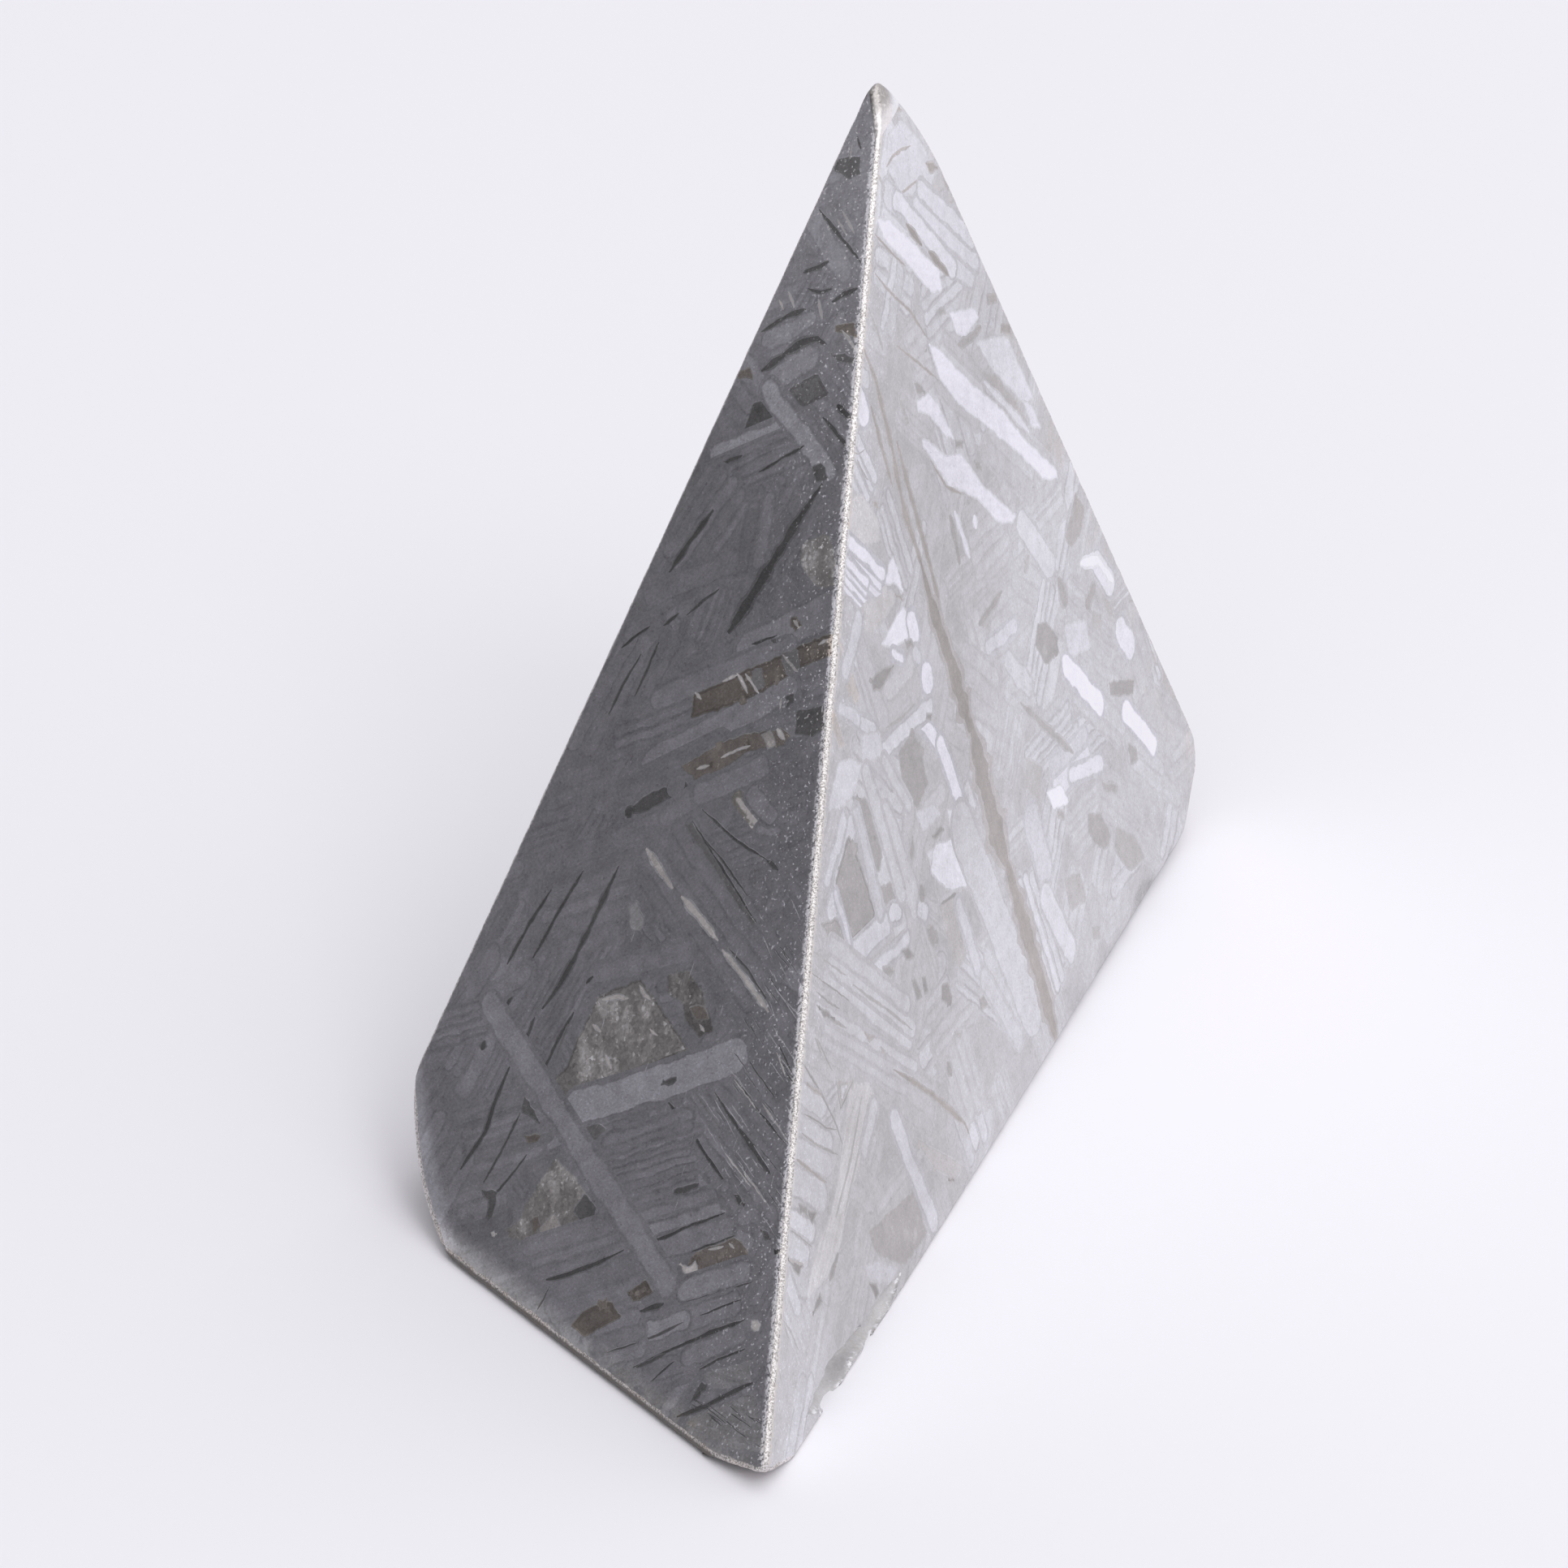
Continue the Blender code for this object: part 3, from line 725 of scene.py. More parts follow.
    trace(4, (981, 1428), (997, 1441), (1019, 1458)),
    pit((983, 1481), (995, 1486), (995, 1499), (985, 1495)),
    pit((995, 1490), (1008, 1493), (1001, 1511), (996, 1500)),
    groove(2, (974, 1516), (988, 1526), (1001, 1536), tone=0.5),
    pit((969, 1549), (991, 1558), (984, 1575), (976, 1564)),
    trace(2, (972, 1552), (990, 1558)),
    # brushed streaks, dull triangles and the lower edge
    field("streaks", (1046, 1334), (1070, 1332), (1080, 1352), (1068, 1404), (1046, 1480), (1036, 1532),
          (1020, 1574), (993, 1604), (1003, 1546), (1026, 1488), (1038, 1420), along=((1070, 1340),
          (1010, 1590)), tone=0.68),
    haze(2, (1062, 1350), (1048, 1430), (1030, 1500)),
    haze(2, (1072, 1352), (1058, 1420), (1040, 1500)),
    groove(4, (1033, 1544), (1028, 1560), (1022, 1579), tone=0.45),
    pit((1030, 1327), (1051, 1332), (1036, 1366), tone=0.6),
    patch((1036, 1338), (1044, 1336), (1037, 1356)),
    groove(2.2, (1030, 1327), (1036, 1366), (1051, 1332), tone=0.45),
    pit((1011, 1589), (1014, 1606), (1000, 1623), (1004, 1607)),
    trace((4, 7), (1101, 1318), (1124, 1332), (1147, 1347), (1170, 1367), (1189, 1384), (1194, 1397),
          tone=0.5),
    line("dull", 7, (1167, 1309), (1173, 1326)),
    haze(4, (1085, 1290), (1092, 1302)),
    cell((1124, 1398), (1160, 1418), (1189, 1436), (1176, 1457), (1150, 1440), tone=0.6),
    cell((1128, 1463), (1137, 1498), (1143, 1521), (1114, 1561), (1078, 1545), (1069, 1516), (1101, 1487),
         tone=0.555),
    bar("pale", (1100, 1374), (1152, 1510), 14),
    bar("soft", (1078, 1360), (1064, 1420), 10),
    field("tan", (1168, 1451), (1174, 1449), (1177, 1455), (1170, 1459), tone=0.4),
    patch((1064, 1560), (1082, 1552), (1108, 1562), (1098, 1584), (1072, 1580)),
    cell((1070, 1582), (1079, 1580), (1084, 1594), (1080, 1602), tone=0.42),
    haze(3, (1058, 1524), (1061, 1536)),
    groove(1.6, (962, 1622), (974, 1640), (985, 1666), tone=0.5),
    groove(1.4, (966, 1632), (972, 1650), tone=0.5),
    groove(2, (960, 1690), (964, 1705), tone=0.55),
    # the long double line from the ridge to the lower edge
    haze(3, (1105, 482), (1112, 502), (1120, 523)),
    trace(3.5, (1073, 500), (1080, 526), (1087, 553), (1100, 600), tone=0.5),
    bar("soft", (1180, 1006), (1276, 1256), 34, tone=0.632),
    trace(4.5, (1105, 543), (1118, 594), (1132, 645), (1147, 700), (1164, 772), tone=0.47),
    trace((3, 8), (1061, 422), (1070, 444), (1079, 467), (1089, 510), (1099, 551), (1107, 594), (1116, 635),
          (1136, 696), tone=0.48),
    trace((8, 21), (1134, 690), (1148, 745), (1160, 782), (1173, 820), (1184, 858), (1199, 904), tone=0.46),
    trace((21, 20), (1198, 898), (1213, 966), (1228, 1025), (1242, 1069), tone=0.45),
    trace((20, 15), (1241, 1064), (1255, 1114), (1268, 1159), (1281, 1203), (1303, 1284), tone=0.46),
]


# The sawn block before wear, in millimetres, and the flats between its corners
block = {
    "frontFoot": (-2.182, -26.521, 0.0),
    "leftFoot": (-18.282, -4.921, 0.0),
    "rightFoot": (17.218, 26.579, 0.0),
    "tip": (2.618, 13.479, 41.4),
    "rindAlong": {"tip": 4.75, "frontFoot": 5.5, "rightFoot": 15.0},   # where the rind meets the edges
    "rindUnder": 2.2,                 # how far the rind lies under the plane through those points
    "tornFrom": 4.0,                  # the torn foot of the right face, along its edge
    "tornTo": 18.0,
    "tornHeight": 1.9,
    "tornDepth": 2.0,                 # how far it reaches in under the face
    "rindReach": 16.0,                # how far the rind reaches from the left foot
    "roughFacet": 1.35,               # no facet of the rind and the torn foot has a longer edge
    "flats": {
        "left": ("frontFoot", "leftFoot", "tip"),
        "right": ("frontFoot", "rightFoot", "tip"),
        "back": ("leftFoot", "rightFoot", "tip"),
        "base": ("frontFoot", "leftFoot", "rightFoot"),
    },
}
corners = {name: Vector(block[name]) for name in ("frontFoot", "leftFoot", "rightFoot", "tip")}
middle = sum(corners.values(), Vector()) / 4.0


def planeThrough(a, b, c):
    normal = (b - a).cross(c - a).normalized()
    if normal.dot(middle - a) > 0.0:
        normal = -normal
    return a, normal


def rindPlane():
    foot = corners["leftFoot"]
    points = [foot + (corners[name] - foot).normalized() * far for name, far in block["rindAlong"].items()]
    return planeThrough(*points)


# A flat carries its own level and uphill directions, so that its pattern is drawn in two numbers
def flatFrame(name, origin, normal):
    level = Vector((0, 0, 1)).cross(normal)
    if level.length < 0.01:
        level = Vector((1, 0, 0))
    level.normalize()
    return {"name": name, "origin": origin, "normal": normal, "level": level, "uphill": normal.cross(level)}


def unit(way):
    return way / np.hypot(*way)


def leftOf(way):
    return np.array((-way[1], way[0]))


def onFlat(flat, place):
    away = place - flat["origin"]
    return np.array((away.dot(flat["level"]), away.dot(flat["uphill"])))


def wayOff(flat, way):
    return flat["level"] * float(way[0]) + flat["uphill"] * float(way[1])


def offFlat(flat, spot, under=0.0):
    place = flat["origin"] + flat["level"] * float(spot[0]) + flat["uphill"] * float(spot[1])
    return place - flat["normal"] * under


def pixelOnFlat(flat, pixel):
    eye = Vector(photo["eye"])
    ray = photoRay(pixel)
    reach = (flat["origin"] - eye).dot(flat["normal"]) / ray.dot(flat["normal"])
    return onFlat(flat, eye + ray * reach)


def sizeOnFlat(flat, start, end, width):
    # a width across a mark in the photo, measured on the flat at right angles to the mark there
    start, end = np.array(start, float), np.array(end, float)
    way = (end - start) / max(np.hypot(*(end - start)), 1e-6)
    side = leftOf(way) * width * 0.5
    mid = (start + end) / 2.0
    along = unit(pixelOnFlat(flat, mid + way * 5.0) - pixelOnFlat(flat, mid - way * 5.0))
    across = pixelOnFlat(flat, mid - side) - pixelOnFlat(flat, mid + side)
    return float(abs(across[0] * along[1] - across[1] * along[0]))


# Each shape of the etch is an outline on a flat with its look
etchForm = {
    "outlineWidth": 0.085,
    "wander": 0.14,            # how far the shader may bend an outline
    "toneSpread": {"left": 0.055, "right": 0.03, "back": 0.05, "base": 0.05},
    "tiltSpread": 0.03,
    "jagStep": 0.24,           # spacing of the points along a ragged outline
    "jagDepth": 0.030,
    # a field's border fades in over two of these
    "softStep": {"left": 0.035, "right": 0.055, "back": 0.045, "base": 0.045},
    "rimTone": 0.86,
    "blotches": {"left": 0.12, "right": 0.04, "back": 0.10, "base": 0.10},
    # of what is darker than the ground, and of what is paler
    "contrast": {"left": (1.4, 1.15), "right": (1.1, 1.70), "back": (1.3, 1.3), "base": (0.9, 0.9)},
    "comb": {"left": 1.0, "right": 0.5, "back": 0.8, "base": 0.8},
    # how bluish the light of the room makes it
    "cold": {"left": 0.85, "right": 0.0, "back": 0.2, "base": 0.1},
    # painted light: how much lighter or darker each cut is painted at the foot, half way up and at the tip,
    # for how the light falls on it
    "level": {"left": (0.73, 0.72, 1.32), "right": (0.94, 0.99, 1.18), "back": (0.92, 0.95, 1.1),
              "base": (0.9, 0.9, 0.9)},
    "softCopy": (1.35, 0.45),  # a line's fainter copy: how much wider, and how strong
    "lineCore": 0.78,          # width of its dark middle
    "lineJag": 0.012,
    "lineSwell": (0.6, 1.7),   # how much its width wanders, and how often to a millimetre
    "blotchCount": (1.6, 12),  # to a square millimetre of a field, and at most
    "blotchSize": (0.12, 0.36),
    "slip": 0.07,              # how far the ends of bars side by side may slip, as a share of their length
}


def newShape(flat, look, outline, rng, place=None, along=None, size=(500.0, 500.0, 0.1), bend=0.0, tone=None,
             creases=(), share=1.0):
    # share: how much of the look shows over the ground
    style = etchLooks[look]
    plain = etchLooks["ground"]
    outline = np.asarray(outline, float)
    if place is None:
        place = outline.mean(axis=0)
    if along is None:
        along = np.array((1.0, 0.0))
    along = unit(np.asarray(along, float))
    side = flat["name"]
    tilt = rng.normal(0.0, etchForm["tiltSpread"], 2) * share
    base = style["tone"] if tone is None else tone
    contrast = etchForm["contrast"][side][0 if base < plain["tone"] else 1]
    base = plain["tone"] + (base - plain["tone"]) * contrast * share
    brown = plain["brown"] + (style["brown"] - plain["brown"]) * share
    brown -= etchForm["cold"][side] * max(0.0, 1.0 - 4.0 * max(brown, 0.0))
    comb = style["comb"] * etchForm["comb"][side]
    return {
        "outline": outline,
        "low": outline.min(axis=0),
        "high": outline.max(axis=0),
        "creases": creases,
        "deep": style["deep"],
        "barPlace": offFlat(flat, place),
        "barAlong": wayOff(flat, along),
        "barAcross": wayOff(flat, leftOf(along)),
        "barSize": size,
        "barForm": (bend, etchForm["outlineWidth"] * rng.uniform(0.7, 1.3), style["matt"]),
        "etchTone": (base * (1.0 + rng.normal(0.0, etchForm["toneSpread"][side]) * share), brown, comb),
        "etchEdge": (style["edge"], style["fleck"] * share, rng.uniform(0.0, 1.0)),
        "etchLevel": etchForm["level"][side],
        "etchTilt": wayOff(flat, tilt),
    }


def barShape(flat, look, start, end, width, rng, bend=0.0, tone=None):
    span = end - start
    halfLength = np.hypot(*span) / 2.0 + width * 0.2
    halfWidth = width / 2.0
    rounding = min(halfWidth, halfLength) * min(rng.uniform(0.85, 1.3), 0.98)
    along = unit(span)
    across = leftOf(along)
    place = (start + end) / 2.0
    grow = etchForm["outlineWidth"] * 0.5 + etchForm["wander"]
    outline = []
    for cornerX, cornerY, first in ((1, 1, 0), (-1, 1, 90), (-1, -1, 180), (1, -1, 270)):
        for turn in (0, 30, 60, 90):
            angle = math.radians(first + turn)
            x = cornerX * (halfLength - rounding) + math.cos(angle) * (rounding + grow)
            y = cornerY * (halfWidth - rounding) + math.sin(angle) * (rounding + grow)
            outline.append((x, y))
        if bend and cornerX * cornerY > 0:
            side = cornerY * (halfWidth + grow)
            outline += [(cornerY * halfLength * share, side) for share in (0.6, 0.3, 0.0, -0.3, -0.6)]
    spots = []
    for x, y in outline:
        share = min(abs(x) / halfLength, 1.0)
        spots.append(place + along * x + across * (y + bend * (1.0 - share * share)))
    return newShape(flat, look, spots, rng, place, along, (halfLength, halfWidth, rounding), bend, tone)


def ragged(points, rng, closed, depth):
    # even steps along the outline, each pushed a little aside
    out = []
    for a, b in zip(points, points[1:] + points[:1] if closed else points[1:]):
        far = np.hypot(*(b - a))
        steps = max(1, int(round(far / etchForm["jagStep"])))
        out += [a + (b - a) * (step / steps) for step in range(steps)]
    if not closed:
        out.append(points[-1])
    return [spot + rng.normal(0.0, depth, 2).clip(-depth * 1.6, depth * 1.6) for spot in out]


def pulledIn(points, far):
    # a smaller copy of an outline: each point moves in along the bisector of its corner
    points = np.asarray(points, float)
    before, after = np.roll(points, 1, axis=0), np.roll(points, -1, axis=0)
    way = after - before
    way /= np.maximum(np.hypot(way[:, 0], way[:, 1]), 1e-9)[:, None]
    inward = np.stack((-way[:, 1], way[:, 0]), axis=1)
    area = 0.5 * np.sum(points[:, 0] * after[:, 1] - points[:, 1] * after[:, 0])
    return points + inward * far * (1.0 if area > 0 else -1.0)


def cornersCut(spots):
    # every corner gives way to two points on its sides
    spots = np.asarray(spots)
    after = np.roll(spots, -1, axis=0)
    return list(np.stack((spots * 0.9 + after * 0.1, spots * 0.1 + after * 0.9), axis=1).reshape(-1, 2))


def fieldShapes(flat, look, spots, rng, rim=0.0, tone=None, along=None):
    outline = ragged(cornersCut(spots), rng, True, etchForm["jagDepth"])
    step = etchForm["softStep"][flat["name"]]
    area = 0.5 * abs(sum(a[0] * b[1] - a[1] * b[0] for a, b in zip(spots, spots[1:] + spots[:1])))
    base = etchLooks[look]["tone"] if tone is None else tone
    if along is None:
        along = spots[1] - spots[0]
    shapes = []
    rings = ((0.45, 0.0), (1.0, step)) if area < 0.12 else ((0.3, 0.0), (0.65, step), (1.0, step * 2))
    for share, far in rings:
        ringTone = base * etchForm["rimTone"] if rim else base
        ring = pulledIn(outline, far)
        shapes.append(newShape(flat, look, ring, rng, along=along, tone=ringTone, share=share))
    if rim:
        # a darker rim round the floor of the field
        shapes.append(newShape(flat, look, pulledIn(outline, step * 2 + rim), rng, along=along, tone=base))
    if look in ("brown", "dull", "tan", "dark") and area > 0.5:
        # blotches of darker and lighter crystals inside
        low, high = np.min(spots, axis=0), np.max(spots, axis=0)
        often, most = etchForm["blotchCount"]
        for _ in range(int(min(area * often, most))):
            spot = rng.uniform(low, high)
            if not inside(sidesOf(spots), spot[None])[0]:
                continue
            size = rng.uniform(*etchForm["blotchSize"])
            shade = base * (1.0 + etchForm["blotches"][flat["name"]] * rng.choice((-1.0, -0.5, 0.8, 1.6)))
            reach = size * rng.uniform(0.5, 1.3, 9)
            for grow, part in ((1.0, 0.5), (0.7, 1.0)):
                ring = [spot + np.array((math.cos(a), math.sin(a))) * far * grow
                        for a, far in zip(np.linspace(0, math.tau, 10)[:-1], reach)]
                blotchTone = base + (shade - base) * part
                shapes.append(newShape(flat, look, ring, rng, along=along, tone=blotchTone))
    return shapes


def lineShapes(flat, look, spots, widths, rng, tone=None):
    # a soft line: a wider, fainter copy lies under it
    path = ragged(spots, rng, False, etchForm["lineJag"])
    wander, pitch = etchForm["lineSwell"]
    shapes = []
    for grow, share in (etchForm["softCopy"], (etchForm["lineCore"], 1.0)):
        left, right = [], []
        for number, spot in enumerate(path):
            ahead = path[min(number + 1, len(path) - 1)] - path[max(number - 1, 0)]
            ahead = ahead / max(np.hypot(*ahead), 1e-9)
            side = leftOf(ahead)
            part = number / max(len(path) - 1, 1)
            swell = 1.0 + wander * noise.noise(Vector((float(spot[0]), float(spot[1]), 0.0)) * pitch)
            half = (widths[0] + (widths[1] - widths[0]) * part) / 2.0 * swell * grow
            half *= min(1.0, 0.3 + 4.0 * part, 0.3 + 4.0 * (1.0 - part))
            left.append(spot + side * half)
            right.append(spot - side * half)
        creases = [path] if etchLooks[look]["deep"] and share == 1.0 and max(widths) > 0.05 else []
        along = path[-1] - path[0] + 1e-9
        outline = left + right[::-1]
        shapes.append(newShape(
            flat, look, outline, rng, along=along, tone=tone, creases=creases, share=share))
    return shapes


def inside(sides, spots):
    # which spots lie inside a closed outline, by counting how many of its sides lie beyond them
    hit = np.zeros(len(spots), bool)
    x, y = spots[:, 0], spots[:, 1]
    for (ax, ay), (bx, by) in sides:
        if ay != by:
            hit ^= ((ay > y) != (by > y)) & (x < (bx - ax) * (y - ay) / (by - ay) + ax)
    return hit


def sidesOf(outline):
    return zip(outline, np.roll(outline, -1, axis=0))


def marksOnFlat(flat, marks, rng):
    shapes = []
    for mark in marks:
        kind, look = mark["kind"], mark["look"]
        if kind in ("bar", "bars"):
            ends = mark["start"], mark["end"]
            start, end = (pixelOnFlat(flat, pixel) for pixel in ends)
            width, bend = (sizeOnFlat(flat, *ends, mark.get(key, 0.0)) for key in ("width", "bend"))
            if kind == "bars":
                shapes += bundle(flat, look, start, end, width, mark["count"], rng)
            else:
                bend = math.copysign(bend, mark["bend"])
                shapes.append(barShape(flat, look, start, end, width, rng, bend, mark["tone"]))
        elif kind == "scratches":
            shapes += scratchesOn(flat, mark, rng)
        elif kind == "field":
            spots = [pixelOnFlat(flat, pixel) for pixel in mark["corners"]]
            rim = sizeOnFlat(flat, *mark["corners"][:2], mark["rim"])
            along = None
            if mark["along"]:
                along = pixelOnFlat(flat, mark["along"][1]) - pixelOnFlat(flat, mark["along"][0])
            shapes += fieldShapes(flat, look, spots, rng, rim, mark["tone"], along)
        else:
            spots = [pixelOnFlat(flat, pixel) for pixel in mark["points"]]
            ends = mark["points"][0], mark["points"][-1]
            widths = [sizeOnFlat(flat, *ends, width) for width in mark["widths"]]
            shapes += lineShapes(flat, look, spots, widths, rng, mark["tone"])
    return shapes


def scratchesOn(flat, mark, rng):
    outline = np.array([pixelOnFlat(flat, pixel) for pixel in mark["corners"]])
    way = unit(pixelOnFlat(flat, mark["end"]) - pixelOnFlat(flat, mark["start"]))
    low, high = outline.min(axis=0), outline.max(axis=0)
    shapes = []
    while len(shapes) < mark["count"] * 2:
        spot = rng.uniform(low, high)
        if not inside(sidesOf(outline), spot[None])[0]:
            continue
        far = rng.uniform(*mark["long"])
        lean = way + rng.normal(0.0, 0.05, 2)
        width = rng.uniform(0.025, 0.06)
        shapes += lineShapes(flat, mark["look"], [spot, spot + lean * far], (width, width * 0.5), rng)
    return shapes


def bundle(flat, look, start, end, width, count, rng):
    # bars side by side, their ends and widths a little uneven
    span = end - start
    far = np.hypot(*span)
    along = span / far
    across = leftOf(along)
    shares = rng.uniform(0.7, 1.3, count)
    shares *= width / shares.sum()
    shapes = []
    edge = -width / 2.0
    for share in shares:
        spot = across * (edge + share / 2.0)
        slip = rng.uniform(-etchForm["slip"], etchForm["slip"], 2) * far
        a = start + spot + along * slip[0]
        b = end + spot + along * slip[1]
        shapes.append(barShape(flat, look, a, b, share * 0.97, rng, rng.normal(0, 0.02) * share))
        edge += share
    return shapes


# What fills a flat where no single mark is placed: bundles of bars along the crystal's own directions
etchFill = {
    "left": {"seed": 11, "ways": (19, -56, 61), "centre": (800, 1150), "bundles": 190, "length": (2.2, 7.0),
             "bar": (0.30, 0.85), "count": (3, 7), "longBars": 0, "calm": 0.5,
             "fields": ("dull", "dark", "dull")},
    "right": {"seed": 23, "ways": (-73, -42, 49, 80), "centre": (1150, 900), "bundles": 230,
              "length": (2.0, 6.0), "bar": (0.30, 0.95), "count": (2, 6), "longBars": 0, "calm": 0.8,
              "fields": ("faint", "dull", "faint")},
    "back": {"seed": 37, "ways": (15, 75, -48), "centre": None, "bundles": 200, "length": (3.0, 9.0),
             "bar": (0.35, 1.1), "count": (2, 7), "longBars": 34, "calm": 0.45,
             "fields": ("dull", "dark", "brown", "speckled")},
    "base": {"seed": 41, "ways": (8, 68, -52), "centre": None, "bundles": 120, "length": (3.0, 9.0),
             "bar": (0.4, 1.3), "count": (2, 6), "longBars": 12, "calm": 0.6,
             "fields": ("dull", "dark", "brown")},
}


def wayOnFlat(flat, degrees, centre):
    turn = math.radians(degrees)
    if centre is None:
        return np.array((math.cos(turn), math.sin(turn)))
    far = (centre[0] + 60.0 * math.cos(turn), centre[1] - 60.0 * math.sin(turn))
    return unit(pixelOnFlat(flat, far) - pixelOnFlat(flat, centre))


def fillOfFlat(flat, low, high, rng):
    fill = etchFill[flat["name"]]
    ways = [wayOnFlat(flat, degrees, fill["centre"]) for degrees in fill["ways"]]
    shapes = []
    # an even net of places, each moved at random, so that no gap stays bare
    columns = max(1, int(round(math.sqrt(fill["bundles"] * (high[0] - low[0]) / (high[1] - low[1])))))
    rows = max(1, int(round(fill["bundles"] / columns)))
    stride = np.array(((high[0] - low[0]) / columns, (high[1] - low[1]) / rows))
    net = [(column, row) for column in range(columns) for row in range(rows)]
    places = [low + stride * (np.array(spot) + rng.uniform(-0.1, 1.1, 2)) for spot in net]
    rng.shuffle(places)
    for number, place in enumerate(places):
        way = ways[rng.integers(len(ways))]
        far = rng.uniform(*fill["length"])
        count = int(rng.integers(fill["count"][0], fill["count"][1] + 1))
        wide = rng.uniform(*fill["bar"]) * count
        look = "calm" if rng.random() < fill["calm"] else "plain"
        shapes += bundle(flat, look, place - way * far / 2, place + way * far / 2, wide, count, rng)
        if number % 7 == 3 and len(shapes):
            # a plessite field fills the corner between two crossing bars
            other = ways[(rng.integers(1, len(ways)) + number) % len(ways)]
            size = rng.uniform(0.5, 1.3)
            corner = place + way * rng.uniform(-1, 1)
            spots = [corner, corner + way * size * 1.6, corner + way * size * 1.1 + other * size,
                     corner + other * size * 0.8]
            shapes += fieldShapes(flat, str(rng.choice(fill["fields"])), spots, rng)
    # long single bars run over them, some with a rusty line beside
    for _ in range(fill["longBars"]):
        way = ways[rng.integers(len(ways))]
        place = rng.uniform(low, high)
        far = rng.uniform(4.0, 12.0)
        wide = rng.uniform(0.45, 1.15)
        look = str(rng.choice(("bar", "pale", "plate", "bar")))
        shapes.append(barShape(flat, look, place - way * far / 2, place + way * far / 2, wide, rng,
                               rng.normal(0, 0.12), tone=rng.uniform(0.68, 0.86)))
        if rng.random() < 0.35:
            aside = leftOf(way) * wide * 0.62
            spots = [place + aside + way * far * share for share in (-0.42, -0.2, 0.05, 0.3)]
            shapes += lineShapes(flat, str(rng.choice(("tan", "line"))), spots, (0.10, 0.2), rng)
    return shapes


# A flat is divided along the outlines of its shapes
def edgeKey(a, b):
    return (a, b) if a < b else (b, a)


def trianglesOf(rim, shapes, points, edges):
    # triangles between the points, and which shape owns each: the last one over it, or -1 off the flat
    spots, lines, faces, _, fromEdges, _ = delaunay_2d_cdt(
        [Vector(point) for point in points], edges, [], 0, 1e-5, True)
    spots = np.array([tuple(s) for s in spots])
    triangles = np.array([f for f in faces if len(f) == 3])
    centres = spots[triangles].mean(axis=1)
    inFlat = inside(rim, centres)
    owners = np.where(inFlat, 0, -1)
    for number, shape in enumerate(shapes, 1):
        near = np.nonzero(inFlat & ((centres > shape["low"]) & (centres < shape["high"])).all(axis=1))[0]
        if len(near):
            owners[near[inside(sidesOf(shape["outline"]), centres[near])]] = number
    return spots, lines, fromEdges, triangles, owners


def divide(rimPoints, rimEdges, shapes):
    points = [tuple(point) for point in rimPoints]
    edges = list(rimEdges)
    creaseOf = {}
    for number, shape in enumerate(shapes, 1):
        first = len(points)
        count = len(shape["outline"])
        points += [tuple(spot) for spot in shape["outline"]]
        edges += [(first + n, first + (n + 1) % count) for n in range(count)]
        for crease in shape["creases"]:
            first = len(points)
            points += [tuple(spot) for spot in crease[1:-1]]
            for n in range(len(crease) - 3):
                creaseOf[len(edges)] = number
                edges.append((first + n, first + n + 1))
    rim = [(rimPoints[a], rimPoints[b]) for a, b in rimEdges]
    spots, lines, fromEdges, triangles, owners = trianglesOf(rim, shapes, points, edges)
    sides = {}
    for (a, b, c), owner in zip(triangles.tolist(), owners.tolist()):
        for key in (edgeKey(a, b), edgeKey(b, c), edgeKey(c, a)):
            sides.setdefault(key, []).append(owner)
    kept = []
    for (a, b), origins in zip(lines, fromEdges):
        around = sides.get(edgeKey(a, b), [])
        if not around or max(around) < 0:
            continue
        if len(set(around)) > 1 or len(around) == 1:
            kept.append((a, b))
        elif any(creaseOf.get(origin) == around[0] for origin in origins):
            kept.append((a, b))
    used = sorted({end for edge in kept for end in edge})
    place = {old: new for new, old in enumerate(used)}
    edges = [(place[a], place[b]) for a, b in kept]
    spots, _, _, triangles, owners = trianglesOf(rim, shapes, [spots[old] for old in used], edges)
    return spots, triangles[owners >= 0], owners[owners >= 0]


def splitRim(mesh, flat, rim, spots):
    # every point of the pattern that falls on the rim becomes a corner of the neighbours too
    near = 2e-4
    found = {}
    for edge in list(rim):
        a, b = edge.verts
        spotA, spotB = onFlat(flat, a.co), onFlat(flat, b.co)
        span = spotB - spotA
        far = np.hypot(*span)
        way = span / far
        away = spots - spotA
        along = away @ way
        aside = np.abs(away[:, 0] * way[1] - away[:, 1] * way[0])
        for number in np.nonzero((aside < near) & (np.abs(along) < near))[0]:
            found[int(number)] = a
        for number in np.nonzero((aside < near) & (np.abs(along - far) < near))[0]:
            found[int(number)] = b
        between = np.nonzero((aside < near) & (along >= near) & (along <= far - near))[0]
        start, done, rest = a, 0.0, edge
        for number in sorted(between, key=lambda n: along[n]):
            share = (along[number] - done) / (far - done)
            _, start = bmesh.utils.edge_split(rest, start, float(share))
            done = along[number]
            rest = mesh.edges.get((start, b))
            found[int(number)] = start
    return found


def facesOf(mesh, regionOf, name):
    return [face for face in mesh.faces if face[regionOf] == regions[name]]


def renumber(mesh):
    for items in (mesh.verts, mesh.edges, mesh.faces):
        items.index_update()


